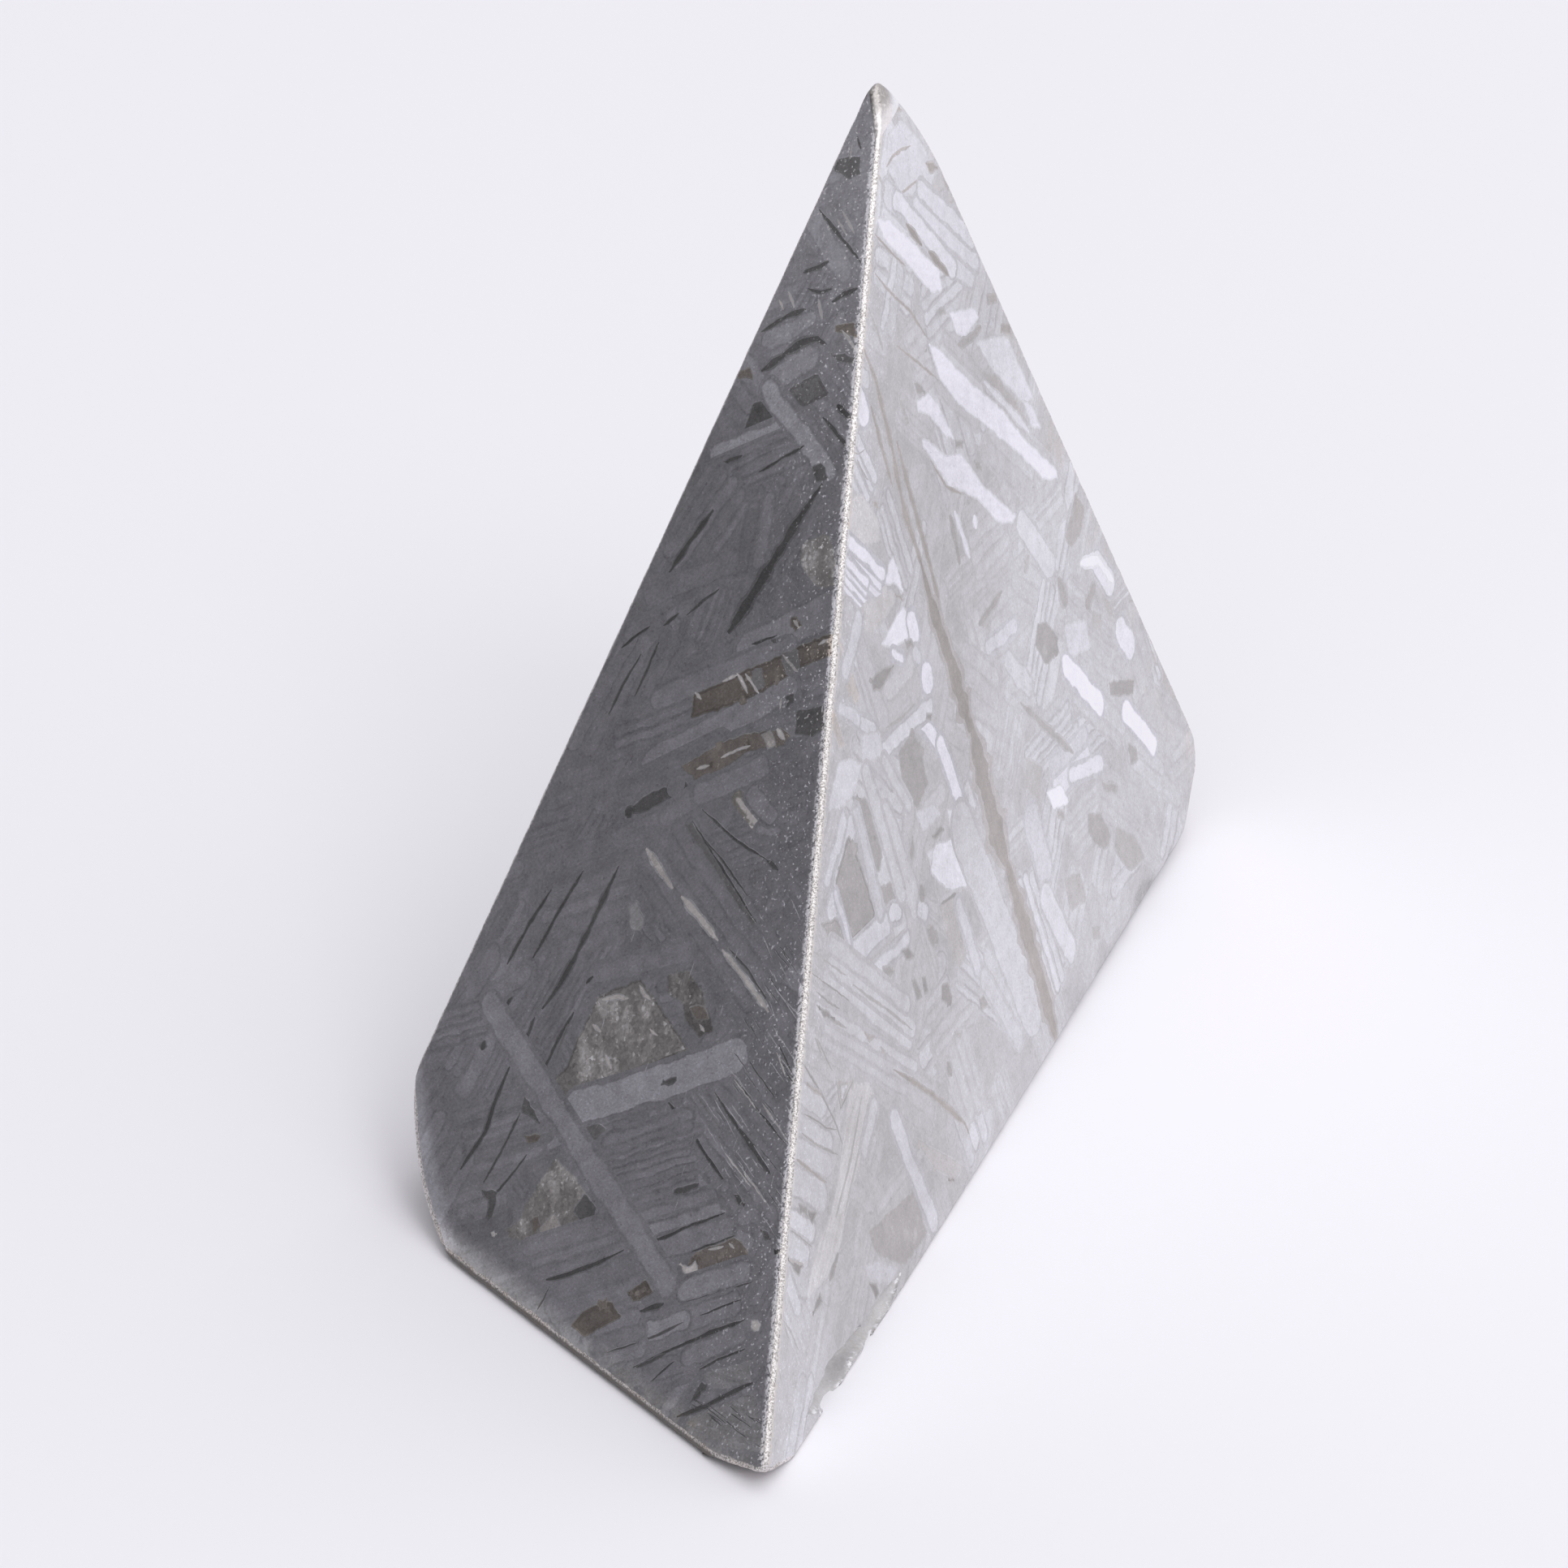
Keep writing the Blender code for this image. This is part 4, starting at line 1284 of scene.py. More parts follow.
def redrawFlat(mesh, flat, regionOf, shapeOf, firstShape, shapes):
    faces = facesOf(mesh, regionOf, flat["name"])
    within = set(faces)
    around = {edge for face in faces for edge in face.edges}
    inner = [edge for edge in around if all(face in within for face in edge.link_faces)]
    rim = [edge for edge in around if not all(face in within for face in edge.link_faces)]
    rim.sort(key=lambda edge: edge.index)
    verts = sorted({vert for edge in rim for vert in edge.verts}, key=lambda vert: vert.index)
    number = {vert: place for place, vert in enumerate(verts)}
    rimPoints = [onFlat(flat, vert.co) for vert in verts]
    rimEdges = [(number[edge.verts[0]], number[edge.verts[1]]) for edge in rim]
    spots, triangles, owners = divide(rimPoints, rimEdges, shapes)
    used = np.unique(triangles)
    found = splitRim(mesh, flat, rim, spots)
    bmesh.ops.delete(mesh, geom=faces, context="FACES_ONLY")
    bare = [edge for edge in inner if edge.is_valid and not edge.link_faces]
    bmesh.ops.delete(mesh, geom=bare, context="EDGES")
    deeps = np.array([0.0] + [shape["deep"] for shape in shapes])
    under = np.full(len(spots), 9.0)
    for column in range(3):
        np.minimum.at(under, triangles[:, column], deeps[owners])
    made = dict(found)
    for spot in used.tolist():
        if spot not in made:
            made[spot] = mesh.verts.new(offFlat(flat, spots[spot], under[spot]))
    for (a, b, c), owner in zip(triangles.tolist(), owners.tolist()):
        try:
            face = mesh.faces.new((made[a], made[b], made[c]))
        except ValueError:
            continue
        face[regionOf] = regions[flat["name"]]
        face[shapeOf] = firstShape + owner
    renumber(mesh)
    print(f"{flat['name']} flat: {len(shapes)} shapes, {len(triangles)} faces")


# Worn edges, rind and torn foot: finer faces, a little uneven, always inwards
wearForm = {
    "step": 0.30,              # spacing of the points along a worn edge
    "roughStep": 0.42,         # on the rind and the torn foot
    "sink": 0.035,             # how far the rounded band dips
    "border": {"ridge": 0.045, "leftBase": 0.16, "other": 0.05},   # how ragged the band's border is
    "rindBumps": 0.10,
    "tornBumps": 0.05,
    "tornSmoothing": 6,
    "facet": {"rind": 0.8, "torn": 0.1},   # how much of its own slant a rough face keeps
    "give": 0.95,              # how much of what lies beyond a pressed corner goes
    # the sawn corner by the rind bulges a little
    "swell": {"centre": (-15.6, -6.2, 2.0), "way": (-0.95, -0.05, -0.30), "height": 0.30, "reach": 4.2},
    # handling has pressed the corners round: towards each way, this deep, over this softness
    "pressed": [
        {"way": (0.80, 0.20, 0.55), "depth": 0.50, "soft": 0.40},        # tip, right
        {"way": (-0.45, 0.10, 0.89), "depth": 0.18, "soft": 0.18},       # tip, left
        {"way": (-0.954, 0.289, -0.08), "depth": 0.17, "soft": 0.17},    # left corner
        {"way": (-0.735, -0.094, -0.673), "depth": 0.17, "soft": 0.17},  # left foot
        {"way": (0.80, 0.45, -0.05), "depth": 0.20, "soft": 0.20},       # right corner
        {"way": (0.85, 0.05, -0.38), "depth": 0.20, "soft": 0.20},
        {"way": (0.818, -0.283, -0.50), "depth": 0.45, "soft": 0.16},    # right face, its lower edge
        {"way": (0.28, -0.927, -0.252), "depth": 0.20, "soft": 0.20},    # front foot
    ],
}
# the flats come before the worn edges, and the rough regions after them
regions = {"left": 0, "right": 1, "back": 2, "base": 3, "worn": 4, "rind": 5, "torn": 6}
worn = regions["worn"]


def markRegions(mesh, regionOf):
    found = {}
    for name, three in block["flats"].items():
        found[name] = flatFrame(name, *planeThrough(*[corners[corner] for corner in three]))
    rindSpot, rindNormal = rindPlane()
    rightEdge = (corners["rightFoot"] - corners["frontFoot"]).normalized()
    for face in mesh.faces:
        centre = face.calc_center_median()
        longest = max(edge.calc_length() for edge in face.edges)
        face[regionOf] = worn
        for name, flat in found.items():
            near = max(abs((vert.co - flat["origin"]).dot(flat["normal"])) for vert in face.verts)
            if near < 0.01 and face.normal.dot(flat["normal"]) > 0.99999:
                face[regionOf] = regions[name]
        if face[regionOf] != worn or longest > block["roughFacet"]:
            continue
        under = (rindSpot - centre).dot(rindNormal)
        along = (centre - corners["frontFoot"]).dot(rightEdge)
        onRight = (centre - corners["frontFoot"]).dot(found["right"]["normal"])
        inFoot = block["tornFrom"] < along < block["tornTo"] and centre.z < block["tornHeight"]
        fromLeft = (centre - corners["leftFoot"]).length
        if -0.02 < under < block["rindUnder"] and fromLeft < block["rindReach"]:
            face[regionOf] = regions["rind"]
        elif inFoot and onRight > -block["tornDepth"]:
            face[regionOf] = regions["torn"]
    # each flat takes the plane of its own largest face, so that new points lie exactly in it
    for name in found:
        largest = max(facesOf(mesh, regionOf, name), key=lambda face: face.calc_area())
        found[name] = flatFrame(name, largest.verts[0].co.copy(), largest.normal.copy())
    return found


def refine(mesh, regionOf):
    rough = [face for face in mesh.faces if face[regionOf] > worn and len(face.verts) > 3]
    bmesh.ops.triangulate(mesh, faces=rough)
    while True:
        tooLong = []
        for edge in mesh.edges:
            around = [face[regionOf] for face in edge.link_faces]
            limit = wearForm["roughStep"] if max(around) > worn else wearForm["step"]
            if max(around) >= worn and edge.calc_length() > limit * 1.4:
                tooLong.append(edge)
        if not tooLong:
            break
        bmesh.ops.subdivide_edges(mesh, edges=tooLong, cuts=1)
        many = [face for face in mesh.faces if face[regionOf] >= worn and len(face.verts) > 4]
        bmesh.ops.triangulate(mesh, faces=many)
    mesh.normal_update()


def borderOf(place):
    away = place - corners["frontFoot"]
    toLeft, toRight = (abs(away.dot(flats[name]["normal"])) for name in ("left", "right"))
    toRidge = max(toLeft, toRight)
    toLeftBase = max(place.z, toLeft)
    if toRidge < 0.8:
        return wearForm["border"]["ridge"]
    return wearForm["border"]["leftBase"] if toLeftBase < 1.2 else wearForm["border"]["other"]


def wearDown(mesh, regionOf):
    moves = {}
    for vert in mesh.verts:
        around = {face[regionOf] for face in vert.link_faces}
        onFlats = [region for region in around if region < worn]
        if not around or max(around) < worn or len(onFlats) > 1:
            continue
        coarse, fine = noise.noise(vert.co * 2.3), noise.noise(vert.co * 6.1 + Vector((5, 1, 3)))
        grain = min(max(0.5 + 0.5 * coarse + 0.35 * fine, 0.0), 1.3)
        if onFlats:
            name = list(regions)[onFlats[0]]
            heart = flats[name]["heart"]
            moves[vert] = (heart - vert.co).normalized() * borderOf(vert.co) * grain
        elif max(around) == worn:
            moves[vert] = -vert.normal * wearForm["sink"] * grain
        elif min(around) > worn:
            depth = wearForm["rindBumps"] if regions["rind"] in around else wearForm["tornBumps"]
            moves[vert] = -vert.normal * depth * grain
    for vert, move in moves.items():
        vert.co += move
    torn = [vert for vert in mesh.verts if {face[regionOf] for face in vert.link_faces} == {regions["torn"]}]
    for _ in range(wearForm["tornSmoothing"]):
        bmesh.ops.smooth_vert(
            mesh, verts=torn, factor=0.5, use_axis_x=True, use_axis_y=True, use_axis_z=True)
    for vert in mesh.verts:
        vert.co.z = max(vert.co.z, 0.0)


def drawEtch(piece):
    mesh = bmesh.new()
    mesh.from_mesh(piece.data)
    bmesh.ops.scale(mesh, vec=(perMetre,) * 3, verts=mesh.verts)
    regionOf = mesh.faces.layers.int.new("region")
    shapeOf = mesh.faces.layers.int.new("shape")
    mesh.normal_update()
    flats.update(markRegions(mesh, regionOf))
    for name, flat in flats.items():
        faces = facesOf(mesh, regionOf, name)
        whole = sum(face.calc_area() for face in faces)
        weighed = (face.calc_center_median() * face.calc_area() for face in faces)
        flat["heart"] = sum(weighed, Vector()) / whole
    refine(mesh, regionOf)
    wearDown(mesh, regionOf)
    renumber(mesh)
    everyShape = []
    for name, flat in flats.items():
        rng = np.random.default_rng(etchFill[name]["seed"])
        faces = facesOf(mesh, regionOf, name)
        rim = np.array([onFlat(flat, vert.co) for face in faces for vert in face.verts])
        low, high = rim.min(axis=0), rim.max(axis=0)
        net = np.array([low, (high[0], low[1]), high, (low[0], high[1])])
        ground = newShape(flat, "ground", net, rng)
        shapes = fillOfFlat(flat, low, high, rng) + marksOnFlat(flat, etchMarks.get(name, []), rng)
        shapes = [shape for shape in shapes if (shape["high"] > low).all() and (shape["low"] < high).all()]
        redrawFlat(mesh, flat, regionOf, shapeOf, len(everyShape), shapes)
        everyShape += [ground] + shapes
    bmesh.ops.triangulate(mesh, faces=[face for face in mesh.faces if len(face.verts) > 4])
    for face in mesh.faces:
        face.smooth = True
        face.material_index = max(0, face[regionOf] - worn + 1)
    bmesh.ops.scale(mesh, vec=(1 / perMetre,) * 3, verts=mesh.verts)
    mesh.to_mesh(piece.data)
    mesh.free()
    return everyShape


def numbersOf(items, name, kind=float):
    numbers = np.zeros(len(items), kind)
    items.foreach_get(name, numbers)
    return numbers


def vectorsOf(items, name):
    numbers = np.zeros(len(items) * 3)
    items.foreach_get(name, numbers)
    return numbers.reshape(-1, 3)


def unitRows(rows):
    return rows / np.maximum(np.linalg.norm(rows, axis=1), 1e-12)[:, None]


def carryLooks(piece, everyShape):
    # each face carries the look of its shape for the material to read
    data = piece.data
    shape, region = (numbersOf(data.attributes[name].data, "value", int) for name in ("shape", "region"))
    shape[region >= worn] = 0
    for name in ("barPlace", "barAlong", "barAcross", "barSize", "barForm",
                 "etchTone", "etchEdge", "etchTilt", "etchLevel"):
        table = np.array([tuple(item[name]) for item in everyShape], np.float32)
        layer = data.attributes.new(name, "FLOAT_VECTOR", "FACE")
        layer.data.foreach_set("vector", table[shape].ravel())
    return region


def pressCorners(data, normals, corner):
    # points beyond a soft plane move in towards it, and the normals turn with them
    places = vectorsOf(data.vertices, "co")
    swell = wearForm["swell"]
    away = places * perMetre - np.array(swell["centre"])
    fall = np.clip(1.0 - (away ** 2).sum(axis=1) / swell["reach"] ** 2, 0.0, None)
    way = np.array(swell["way"])
    places += (swell["height"] * fall ** 2)[:, None] * way / perMetre
    gradient = (-4.0 * swell["height"] * fall / swell["reach"] ** 2)[:, None] * away
    normals = unitRows(normals - gradient[corner] * (normals @ way)[:, None])
    give = wearForm["give"]
    for press in wearForm["pressed"]:
        way = np.array(press["way"])
        way /= np.linalg.norm(way)
        soft = press["soft"] / perMetre
        beyond = places @ way
        beyond -= beyond.max() - press["depth"] / perMetre
        slope = give * np.clip((beyond + soft) / (2.0 * soft), 0.0, 1.0)
        bent = give * np.clip(beyond + soft, 0.0, None) ** 2 / (4.0 * soft)
        sunk = np.where(beyond < soft, bent, give * beyond)
        places -= sunk[:, None] * way
        turn = (slope / (1.0 - slope))[corner] * (normals @ way)
        normals = unitRows(normals + turn[:, None] * way)
    places[:, 2] = np.maximum(places[:, 2], 0.0)
    data.vertices.foreach_set("co", places.ravel())
    data.update()
    return normals


def setNormals(piece, region):
    data = piece.data
    own, area = vectorsOf(data.polygons, "normal"), numbersOf(data.polygons, "area")
    corner = numbersOf(data.loops, "vertex_index", int)
    faceOf = np.repeat(np.arange(len(own)), numbersOf(data.polygons, "loop_total", int))
    smooth = np.zeros((len(data.vertices), 3))
    kind = region[faceOf]
    shared = kind >= worn
    np.add.at(smooth, corner[shared], own[faceOf[shared]] * area[faceOf[shared], None])
    result = own[faceOf].copy()
    flatAt = np.zeros((len(data.vertices), 3))
    for name, flat in flats.items():
        level = np.array(flat["normal"])
        plane = (kind == regions[name]) & (own[faceOf] @ level > 0.9999)
        result[plane] = level
        # a level face gives its normal to the worn band beside it
        flatAt[corner[plane]] += level
    length = np.linalg.norm(flatAt, axis=1)
    bands = kind == worn
    touching = bands & (length[corner] > 0)
    away = bands & (length[corner] == 0)
    result[touching] = flatAt[corner[touching]]
    result[away] = smooth[corner[away]]
    rough = kind > worn
    facet = np.where(kind[rough] == regions["rind"], wearForm["facet"]["rind"], wearForm["facet"]["torn"])
    result[rough] = unitRows(smooth[corner[rough]]) + own[faceOf[rough]] * facet[:, None]
    result = pressCorners(data, unitRows(result), corner)
    data.normals_split_custom_set([tuple(normal) for normal in result])
    for name in ("region", "shape"):
        data.attributes.remove(data.attributes[name])


flats = {}
etchMarks = {"left": leftMarks, "right": rightMarks}
piece = copyOfSolid()
everyShape = drawEtch(piece)
region = carryLooks(piece, everyShape)
setNormals(piece, region)
print(f"etch drawn: {len(piece.data.polygons)} faces")


# Shared effects, each built once as a node group
groups = {}
halves = (0.5, 0.5, 0.5)


def addGroup(name, build, inputs):
    # an input that starts at no number is a place
    group = bpy.data.node_groups.new(name, "ShaderNodeTree")
    for label, value in inputs.items():
        kind = "NodeSocketVector" if value is None else "NodeSocketFloat"
        socket = group.interface.new_socket(name=label, in_out="INPUT", socket_type=kind)
        if value is not None:
            socket.default_value = value
    given = group.nodes.new("NodeGroupInput").outputs
    results = build({label: Value(given[label]) for label in inputs})
    for label, value in results.items():
        kind = "Float" if value.isNumber else "Color" if label == "Color" else "Vector"
        group.interface.new_socket(name=label, in_out="OUTPUT", socket_type="NodeSocket" + kind)
    plug(group.nodes.new("NodeGroupOutput"), results)
    groups[name] = group


def useGroup(name, inputs):
    node = newNode(treeOf(inputs.values()), "ShaderNodeGroup", inputs, node_tree=groups[name])
    return {socket.name: Value(socket) for socket in node.outputs}


def fromFace(tree, name):
    return fromNode(tree, "ShaderNodeAttribute", "Vector", attribute_name=name)


def inMillimetres(tree):
    return fromNode(tree, "ShaderNodeTexCoord", "Object") * perMetre


def stretched(place, turn, stretch):
    inputs = {"Vector": place, "Rotation": turn, "Scale": stretch}
    return fromNode(place.tree, "ShaderNodeMapping", 0, inputs)


def bumped(height, lean=None):
    # relief in millimetres, over a surface that leans its own way
    inputs = {"Height": height, "Distance": 1.0 / perMetre, "Strength": 1.0}
    if lean:
        normal = fromNode(height.tree, "ShaderNodeNewGeometry", "Normal")
        inputs["Normal"] = vectorMaths("NORMALIZE", normal + lean)
    return fromNode(height.tree, "ShaderNodeBump", "Normal", inputs)


# Inside and outline of the bar that a face belongs to, both with a wandering border
def barShapeGroup(given):
    place = given["Place"]
    sway = (noiseOf(place, 0.9, 2.0, 0.5, "Color") - halves) * 0.46
    shake = (noiseOf(place, 5.5, 1.0, 0.6, "Color") - halves) * 0.08
    away = place + sway + shake - fromFace(place.tree, "barPlace")
    along = vectorMaths("DOT_PRODUCT", away, fromFace(place.tree, "barAlong"))
    across = vectorMaths("DOT_PRODUCT", away, fromFace(place.tree, "barAcross"))
    halfLength, halfWidth, rounding = partsOf(fromFace(place.tree, "barSize"))
    bend, width, _ = partsOf(fromFace(place.tree, "barForm"))
    share = along / halfLength
    across = across - bend * (1.0 - share * share)
    x = maths("ABSOLUTE", along) - halfLength + rounding
    y = maths("ABSOLUTE", across) - halfWidth + rounding
    outX, outY = maths("MAXIMUM", x, 0.0), maths("MAXIMUM", y, 0.0)
    corner = maths("SQRT", outX * outX + outY * outY)
    ratio = (corner + maths("MINIMUM", maths("MAXIMUM", x, y), 0.0) - rounding) / width
    ring = smoothStep(ratio, -1.2, -0.1) * smoothStep(ratio, 1.2, 0.2)
    return {"Body": smoothStep(ratio, 0.35, -0.9), "Outline": ring, "Along": along, "Across": across}


# Distance from each kind of edge, in millimetres, from the planes of the sawn block
def edgeGapsGroup(given):
    planes = {name: (flat["origin"], flat["normal"]) for name, flat in flats.items()}
    planes["rind"] = rindPlane()
    gaps = {}
    for name, (spot, normal) in planes.items():
        gaps[name] = spot.dot(normal) - vectorMaths("DOT_PRODUCT", given["Place"], tuple(normal))
    return {
        "Ridge": maths("MAXIMUM", gaps["left"], gaps["right"]),
        "Left Base": maths("MAXIMUM", gaps["left"], gaps["base"]),
        "Back": gaps["back"], "Left": gaps["left"], "Right": gaps["right"], "Rind": gaps["rind"],
    }


# Matt grain of etched iron: a tone round 1 and a height in millimetres
def metalGrainGroup(given):
    place = given["Place"]
    fine = noiseOf(place, 9.0, 3.0, 0.7) - 0.5
    middling = noiseOf(place, 1.7, 3.0, 0.55) - 0.5
    broad = noiseOf(place, 0.35, 2.0, 0.5) - 0.5
    specks = smoothStep(noiseOf(place, 8.5, 1.0, 0.5), 0.68, 0.78)
    holes = smoothStep(noiseOf(place, 5.0, 2.0, 0.6), 0.36, 0.28)
    total = fine * 0.34 + middling * 0.22 + broad * 0.14 + specks * given["Sparkle"] - holes * 0.08
    return {"Tone": total * given["Contrast"] + 1.0, "Height": fine * 0.014 + middling * 0.006}


# Small crystals that each shine their own way
def fleckGroup(given):
    place = given["Place"] + noiseOf(given["Place"], 5.0, 2.0, 0.6, "Color") * 0.16
    inputs = {"Vector": place, "Scale": given["Per Millimetre"]}
    colour = fromNode(place.tree, "ShaderNodeTexVoronoi", "Color", inputs)
    shade = fromNode(place.tree, "ShaderNodeSeparateColor", 0, {0: colour})
    bright = smoothStep(shade, 0.72, 1.0)
    # the bright ones stand in clusters on pale clouds, which run one way
    streak = stretched(given["Place"], (0.0, 0.0, 0.4), (1.0, 0.6, 0.75))
    cloud = noiseOf(streak, 1.15, 5.0, 0.62)
    patches = smoothStep(noiseOf(streak, 2.4, 2.0, 0.6), 0.48, 0.64) * smoothStep(cloud, 0.42, 0.60)
    level = bright * patches * 3.0 + smoothStep(cloud, 0.50, 0.62) * 0.42 + (cloud - 0.5) * 0.7
    return {"Tone": level, "Lean": colour - halves}


# Iron from pale to rusty: blue-grey where bright, warm where dark, brown where it has rusted
def ironColourGroup(given):
    tone = maths("MAXIMUM", given["Tone"], 0.02)
    tint = mixColours(smoothStep(tone, 0.35, 0.95), (1.0, 0.975, 0.965, 1), (0.985, 0.985, 1.015, 1))
    tint = mixColours(maths("MULTIPLY", given["Brown"], -1.0, clamp=True), tint, (0.97, 0.955, 1.02, 1))
    tint = mixColours(maths("MAXIMUM", given["Brown"], 0.0), tint, (1.0, 0.885, 0.80, 1))
    return {"Color": tint * tone}


# The flat cuts: each bar with its tone and dark outline, fields with crystals, fine lines and scratches
etchedFinish = {
    "ground": 0.62,            # tone between the bars
    "outlineDepth": 0.34,
    "outlineHeight": 0.004,    # how deep the outline is etched, in millimetres
    "combPitch": 3.6,          # fine lines to a millimetre
    "combDepth": (1.6, 0.02),  # how much tone and height the fine lines take
    "scratches": 0.10,
    "spots": (0.50, 0.12),     # on the left face and on the right one
    "heights": (4.0, 24.0, 40.0),          # of foot, middle and tip, whose painted light levels differ, in millimetres
    "farGain": 0.18,           # painted light: the right face is painted lighter away from the ridge
    "frontGain": 0.22,         # and at its front foot
    "turnedCorner": (0.40, 1.5),           # how far the left face turns to the rind, over how wide a strip
    "grain": (2.4, 1.4),       # contrast of the grain, on the left face and on the right one
    "roughness": 0.02,         # added to each look's own
    "ridgeGlow": 0.72,         # tone of the rubbed specks by the ridge
}


def etchedIron():
    material, tree, shader = newMaterial("etchedIron")
    place = inMillimetres(tree)
    _, depth, height = partsOf(place)
    shape = useGroup("barShape", {"Place": place})
    gaps = useGroup("edgeGaps", {"Place": place})
    onLeft = smoothStep(gaps["Left"], 0.15, 0.05)
    onRight = smoothStep(gaps["Right"], 0.15, 0.05)
    contrast = mixValues(onRight, *etchedFinish["grain"])
    grain = useGroup("metalGrain", {"Place": place, "Sparkle": 0.14, "Contrast": contrast})
    flecks = useGroup("flecks", {"Place": place, "Per Millimetre": 7.0})
    tone, brown, combDepth = partsOf(fromFace(tree, "etchTone"))
    edge, fleck, dice = partsOf(fromFace(tree, "etchEdge"))
    paintedLevels = partsOf(fromFace(tree, "etchLevel"))
    matt = partsOf(fromFace(tree, "barForm"))[2]
    # the bar over the ground, and its outline, which fades here and there
    tone = mixValues(shape["Body"], etchedFinish["ground"], tone)
    dark = shape["Outline"] * edge * smoothStep(noiseOf(place, 0.9, 2.0, 0.6), 0.32, 0.60, 0.20, 1.0)
    tone = tone * (1.0 - dark * etchedFinish["outlineDepth"])
    # fine lines along the bar
    combTone, combHeight = etchedFinish["combDepth"]
    lines = fromNode(tree, "ShaderNodeCombineXYZ", 0, {
        "X": shape["Along"] * 0.22, "Y": shape["Across"] * etchedFinish["combPitch"], "Z": dice * 37.0})
    comb = noiseOf(lines, 1.0, 3.0, 0.65) - 0.5
    tone = tone * (1.0 + comb * (combDepth * combTone))
    # pale clouds and bright crystals
    tone = tone * (1.0 + flecks["Tone"] * fleck)
    # rubbed scratches and bright spots, mostly by the ridge
    rubbed = stretched(place, (0.35, -0.9, 0.6), (9.0, 0.35, 6.0))
    scratch = smoothStep(noiseOf(rubbed, 1.0, 2.0, 0.6), 0.60, 0.78)
    byRidge = smoothStep(gaps["Ridge"], 4.5, 0.3, 0.15, 1.0)
    tone = tone + scratch * (byRidge * etchedFinish["scratches"])
    spots = smoothStep(noiseOf(place, 7.5, 1.0, 0.5), 0.64, 0.71)
    spots = spots * smoothStep(gaps["Ridge"], 6.0, 0.5, 0.15, 1.0)
    tone = (tone + spots * mixValues(onRight, *etchedFinish["spots"])) * grain["Tone"]
    # painted light: each cut's tone is scaled by its painted levels at foot, middle and tip, and the right
    # face is painted lighter away from the ridge and at its front foot
    foot, halfWay, top = etchedFinish["heights"]
    level = mixValues(smoothStep(height, foot, halfWay), paintedLevels[0], paintedLevels[1])
    level = mixValues(smoothStep(height, halfWay, top), level, paintedLevels[2])
    farOff = smoothStep(gaps["Left"], 11.0, 18.0) * onRight
    front = smoothStep(depth, -16.0, -24.0) * onRight
    level = level * (1.0 + farOff * etchedFinish["farGain"]) * (1.0 + front * etchedFinish["frontGain"])
    tone = tone * level
    # the metal is rubbed bright in specks close to the ridge, dusty along the foot of the left face
    near = smoothStep(gaps["Ridge"], 0.50, 0.22)
    rubs = near * smoothStep(noiseOf(place, 6.5, 3.0, 0.75) + near * 0.10, 0.50, 0.60)
    tone = mixValues(rubs, tone, etchedFinish["ridgeGlow"])
    byCorner = smoothStep(gaps["Rind"], 9.0, 1.5, 0.30, 1.0)
    dusty = smoothStep(noiseOf(place, 1.6, 2.0, 0.6) + byCorner * 0.22, 0.36, 0.66)
    dust = smoothStep(gaps["Left Base"], 1.35, 0.55) * dusty * onLeft
    tone = tone * (1.0 + dust * byCorner)
    stained = smoothStep(noiseOf(place, 0.8, 3.0, 0.6), 0.42, 0.70, 0.0, 0.35)
    stain = smoothStep(gaps["Back"], 2.2, 0.2) * stained
    brown = brown + dust * 1.1 + rubs * 0.6 + stain
    colour = useGroup("ironColour", {"Tone": maths("SMOOTH_MIN", tone, 1.02, 0.3), "Brown": brown})
    roughness = matt + noiseOf(place, 2.0, 2.0, 0.5) * 0.08 + etchedFinish["roughness"] + rubs * 0.15
    relief = grain["Height"] - dark * etchedFinish["outlineHeight"] + comb * (combDepth * combHeight)
    # every bar leans its own way, the rubbed specks turn towards the ridge, and the lower left corner
    # is worn round, so that it catches the light of the floor
    lean = fromFace(tree, "etchTilt") * shape["Body"] + flecks["Lean"] * (fleck * 0.22)
    lean = lean + scaled(ridgeWay, rubs * 1.1 + spots * (onLeft * 0.45))
    amount, wide = etchedFinish["turnedCorner"]
    lean = lean + scaled(tuple(rindPlane()[1]), smoothStep(gaps["Rind"], wide, 0.1) * onLeft * amount)
    plug(shader, {"Base Color": colour["Color"], "Metallic": 1.0, "Roughness": roughness,
                  "Normal": bumped(relief, lean)})
    return material


# The rounded edges: rubbed bright along the ridge, dusty at the foot of the left face, with painted shade
# along the bottom of that foot
wornFinish = {
    "ridge": 0.81,
    "upperRidge": 0.93,
    "tip": 1.0,
    "apex": 0.52,
    "other": 0.85,
    "dusty": 0.80,
    "underline": 0.26,         # painted shade: the lower half of the foot is painted dark for its contact shadow
    "roughness": 0.44,
    "grainHeight": 0.030,
    "turned": 0.55,            # how far the ridge turns to the light
}


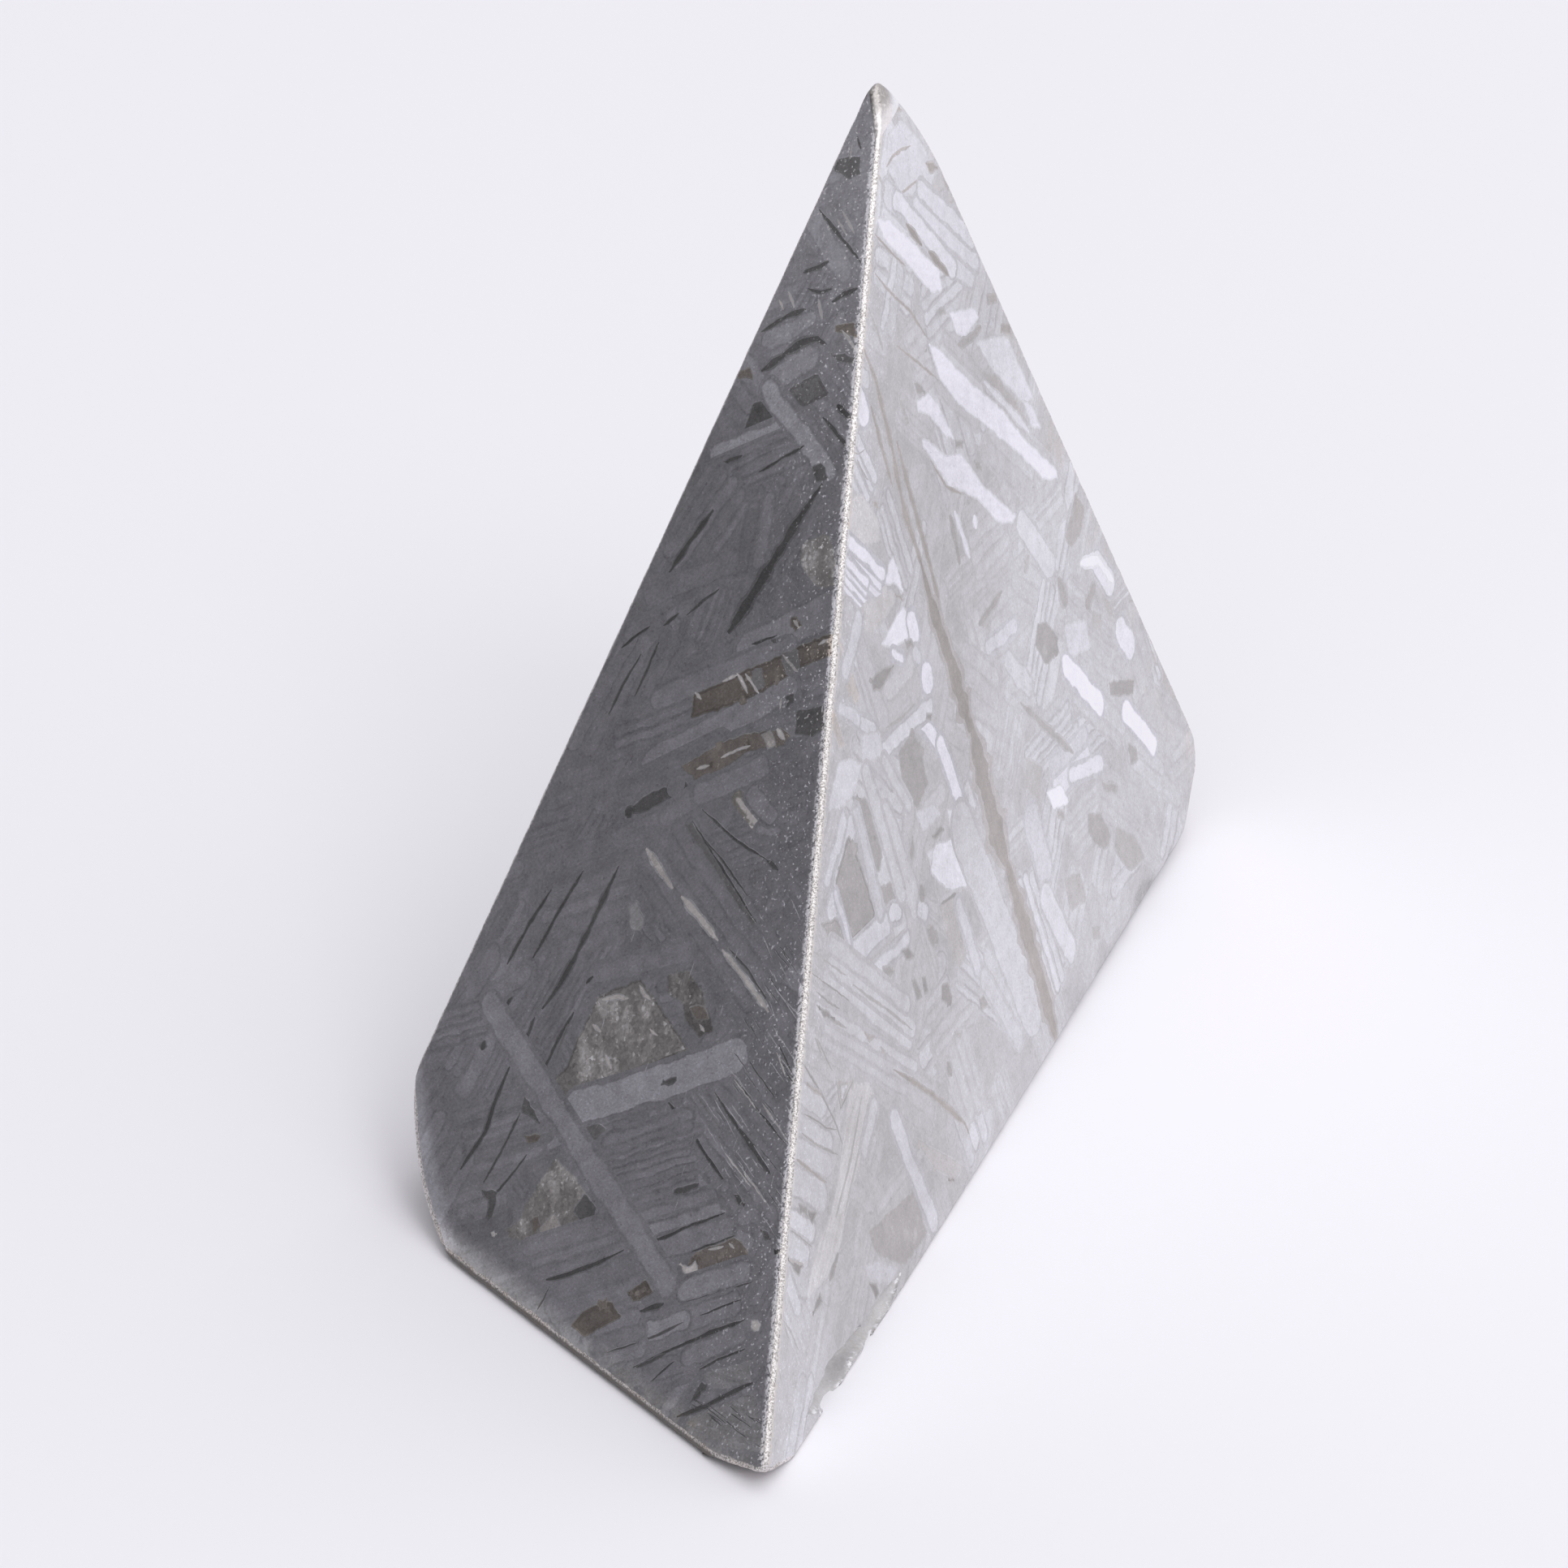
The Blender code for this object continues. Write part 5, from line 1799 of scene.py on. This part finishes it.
def wornEdge():
    material, tree, shader = newMaterial("wornEdge")
    place = inMillimetres(tree)
    height = partsOf(place)[2]
    gaps = useGroup("edgeGaps", {"Place": place})
    flecks = useGroup("flecks", {"Place": place, "Per Millimetre": 12.0})
    grain = useGroup("metalGrain", {"Place": place, "Contrast": 1.2, "Sparkle": 0.2})
    onRidge = smoothStep(gaps["Ridge"], 0.75, 0.5)
    onTip = smoothStep(height, 37.9, 38.8)
    onFoot = smoothStep(gaps["Left Base"], 1.3, 0.9) * (1.0 - onRidge)
    rubbed = smoothStep(height, 20.0, 37.0, wornFinish["ridge"], wornFinish["upperRidge"])
    tone = mixValues(onRidge, wornFinish["other"], rubbed)
    tone = mixValues(onTip, tone, wornFinish["tip"])
    tone = mixValues(onFoot, tone, wornFinish["dusty"])
    rough = noiseOf(place, 13.0, 3.0, 0.7)
    pits = smoothStep(rough, 0.54, 0.42) * (1.0 - onTip * 0.85)
    tone = tone * (1.0 - pits * 0.50) * grain["Tone"]
    # painted shade: below about half a millimetre the foot is darkened for its contact shadow
    under = smoothStep(height + rough * 0.16, 0.50, 0.37) * onFoot
    tone = mixValues(under, tone, wornFinish["underline"])
    tone = tone * smoothStep(height, 38.9, 39.5, 1.0, wornFinish["apex"])
    dust = smoothStep(noiseOf(place, 2.2, 3.0, 0.65), 0.40, 0.62)
    brown = dust * (onFoot * 0.3) + (0.30 - onTip * smoothStep(gaps["Ridge"], 0.8, 1.5, 0.0, 0.45))
    colour = useGroup("ironColour", {"Tone": maths("MINIMUM", tone, 1.0), "Brown": brown})
    relief = rough * ((1.0 - onTip * 0.6) * wornFinish["grainHeight"])
    turned = onRidge * wornFinish["turned"] * (1.0 - onTip)
    lean = flecks["Lean"] * 0.34 + scaled(ridgeWay, turned)
    plug(shader, {"Base Color": colour["Color"], "Metallic": 1.0, "Normal": bumped(relief, lean),
                  "Roughness": onFoot * 0.25 + wornFinish["roughness"]})
    return material


# The corner that was never sawn: a dark crust, rusty in its hollows and rubbed bare on its humps
rindFinish = {
    "crust": (0.085, 0.070, 0.058, 1),
    "rust": (0.16, 0.085, 0.045, 1),
    "bare": (0.56, 0.55, 0.545, 1),
    "roughness": 0.58,
}


def naturalRind():
    material, tree, shader = newMaterial("naturalRind")
    place = inMillimetres(tree)
    gaps = useGroup("edgeGaps", {"Place": place})
    grain = useGroup("metalGrain", {"Place": place, "Contrast": 2.0})
    blotch = smoothStep(noiseOf(place, 0.9, 4.0, 0.6), 0.40, 0.65)
    colour = mixColours(blotch, rindFinish["crust"], rindFinish["rust"])
    bumps = (noiseOf(place, 3.0, 4.0, 0.7) - 0.5) * 1.4
    humps = maths("ADD", smoothStep(gaps["Rind"], 0.75, 0.15), bumps, clamp=True)
    bare = smoothStep(humps, 0.45, 0.85)
    colour = mixColours(bare, colour, rindFinish["bare"]) * grain["Tone"]
    metallic = maths("ADD", bare * 0.6, 0.35, clamp=True)
    relief = noiseOf(place, 4.0, 5.0, 0.65) * 0.09
    plug(shader, {"Base Color": colour, "Metallic": metallic, "Normal": bumped(relief),
                  "Roughness": rindFinish["roughness"] - bare * 0.16})
    return material


# The torn foot of the right face: bright breaks between dull and brown hollows
tornFinish = {
    "low": 0.58,
    "high": 0.90,
    "metallic": 0.45,
    "roughness": 0.65,
}


def tornMetal():
    material, tree, shader = newMaterial("tornMetal")
    place = inMillimetres(tree)
    gaps = useGroup("edgeGaps", {"Place": place})
    flecks = useGroup("flecks", {"Place": place, "Per Millimetre": 7.0})
    grain = useGroup("metalGrain", {"Place": place, "Contrast": 1.2})
    level = smoothStep(noiseOf(place, 3.4, 3.0, 0.6), 0.50, 0.62) * smoothStep(gaps["Right"], 0.30, 0.06)
    tone = mixValues(level, tornFinish["low"], tornFinish["high"]) * grain["Tone"]
    brown = smoothStep(noiseOf(place, 1.4, 3.0, 0.6), 0.42, 0.66, -0.2, 0.12)
    colour = useGroup("ironColour", {"Tone": maths("MINIMUM", tone, 1.0), "Brown": brown})
    relief = noiseOf(place, 4.0, 3.0, 0.6) * 0.014
    lean = flecks["Lean"] * (level * 0.35 + 0.03)
    plug(shader, {"Base Color": colour["Color"], "Metallic": tornFinish["metallic"],
                  "Roughness": tornFinish["roughness"], "Normal": bumped(relief, lean)})
    return material


ridgeWay = tuple((flats["left"]["normal"] + flats["right"]["normal"]).normalized())
addGroup("barShape", barShapeGroup, {"Place": None})
addGroup("edgeGaps", edgeGapsGroup, {"Place": None})
addGroup("metalGrain", metalGrainGroup, {"Place": None, "Contrast": 1.0, "Sparkle": 0.15})
addGroup("flecks", fleckGroup, {"Place": None, "Per Millimetre": 5.0})
addGroup("ironColour", ironColourGroup, {"Tone": 0.7, "Brown": 0.0})
for make in (etchedIron, wornEdge, naturalRind, tornMetal):
    piece.data.materials.append(make())
print("materials made")

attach(piece, "root")
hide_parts("meteorite_point")
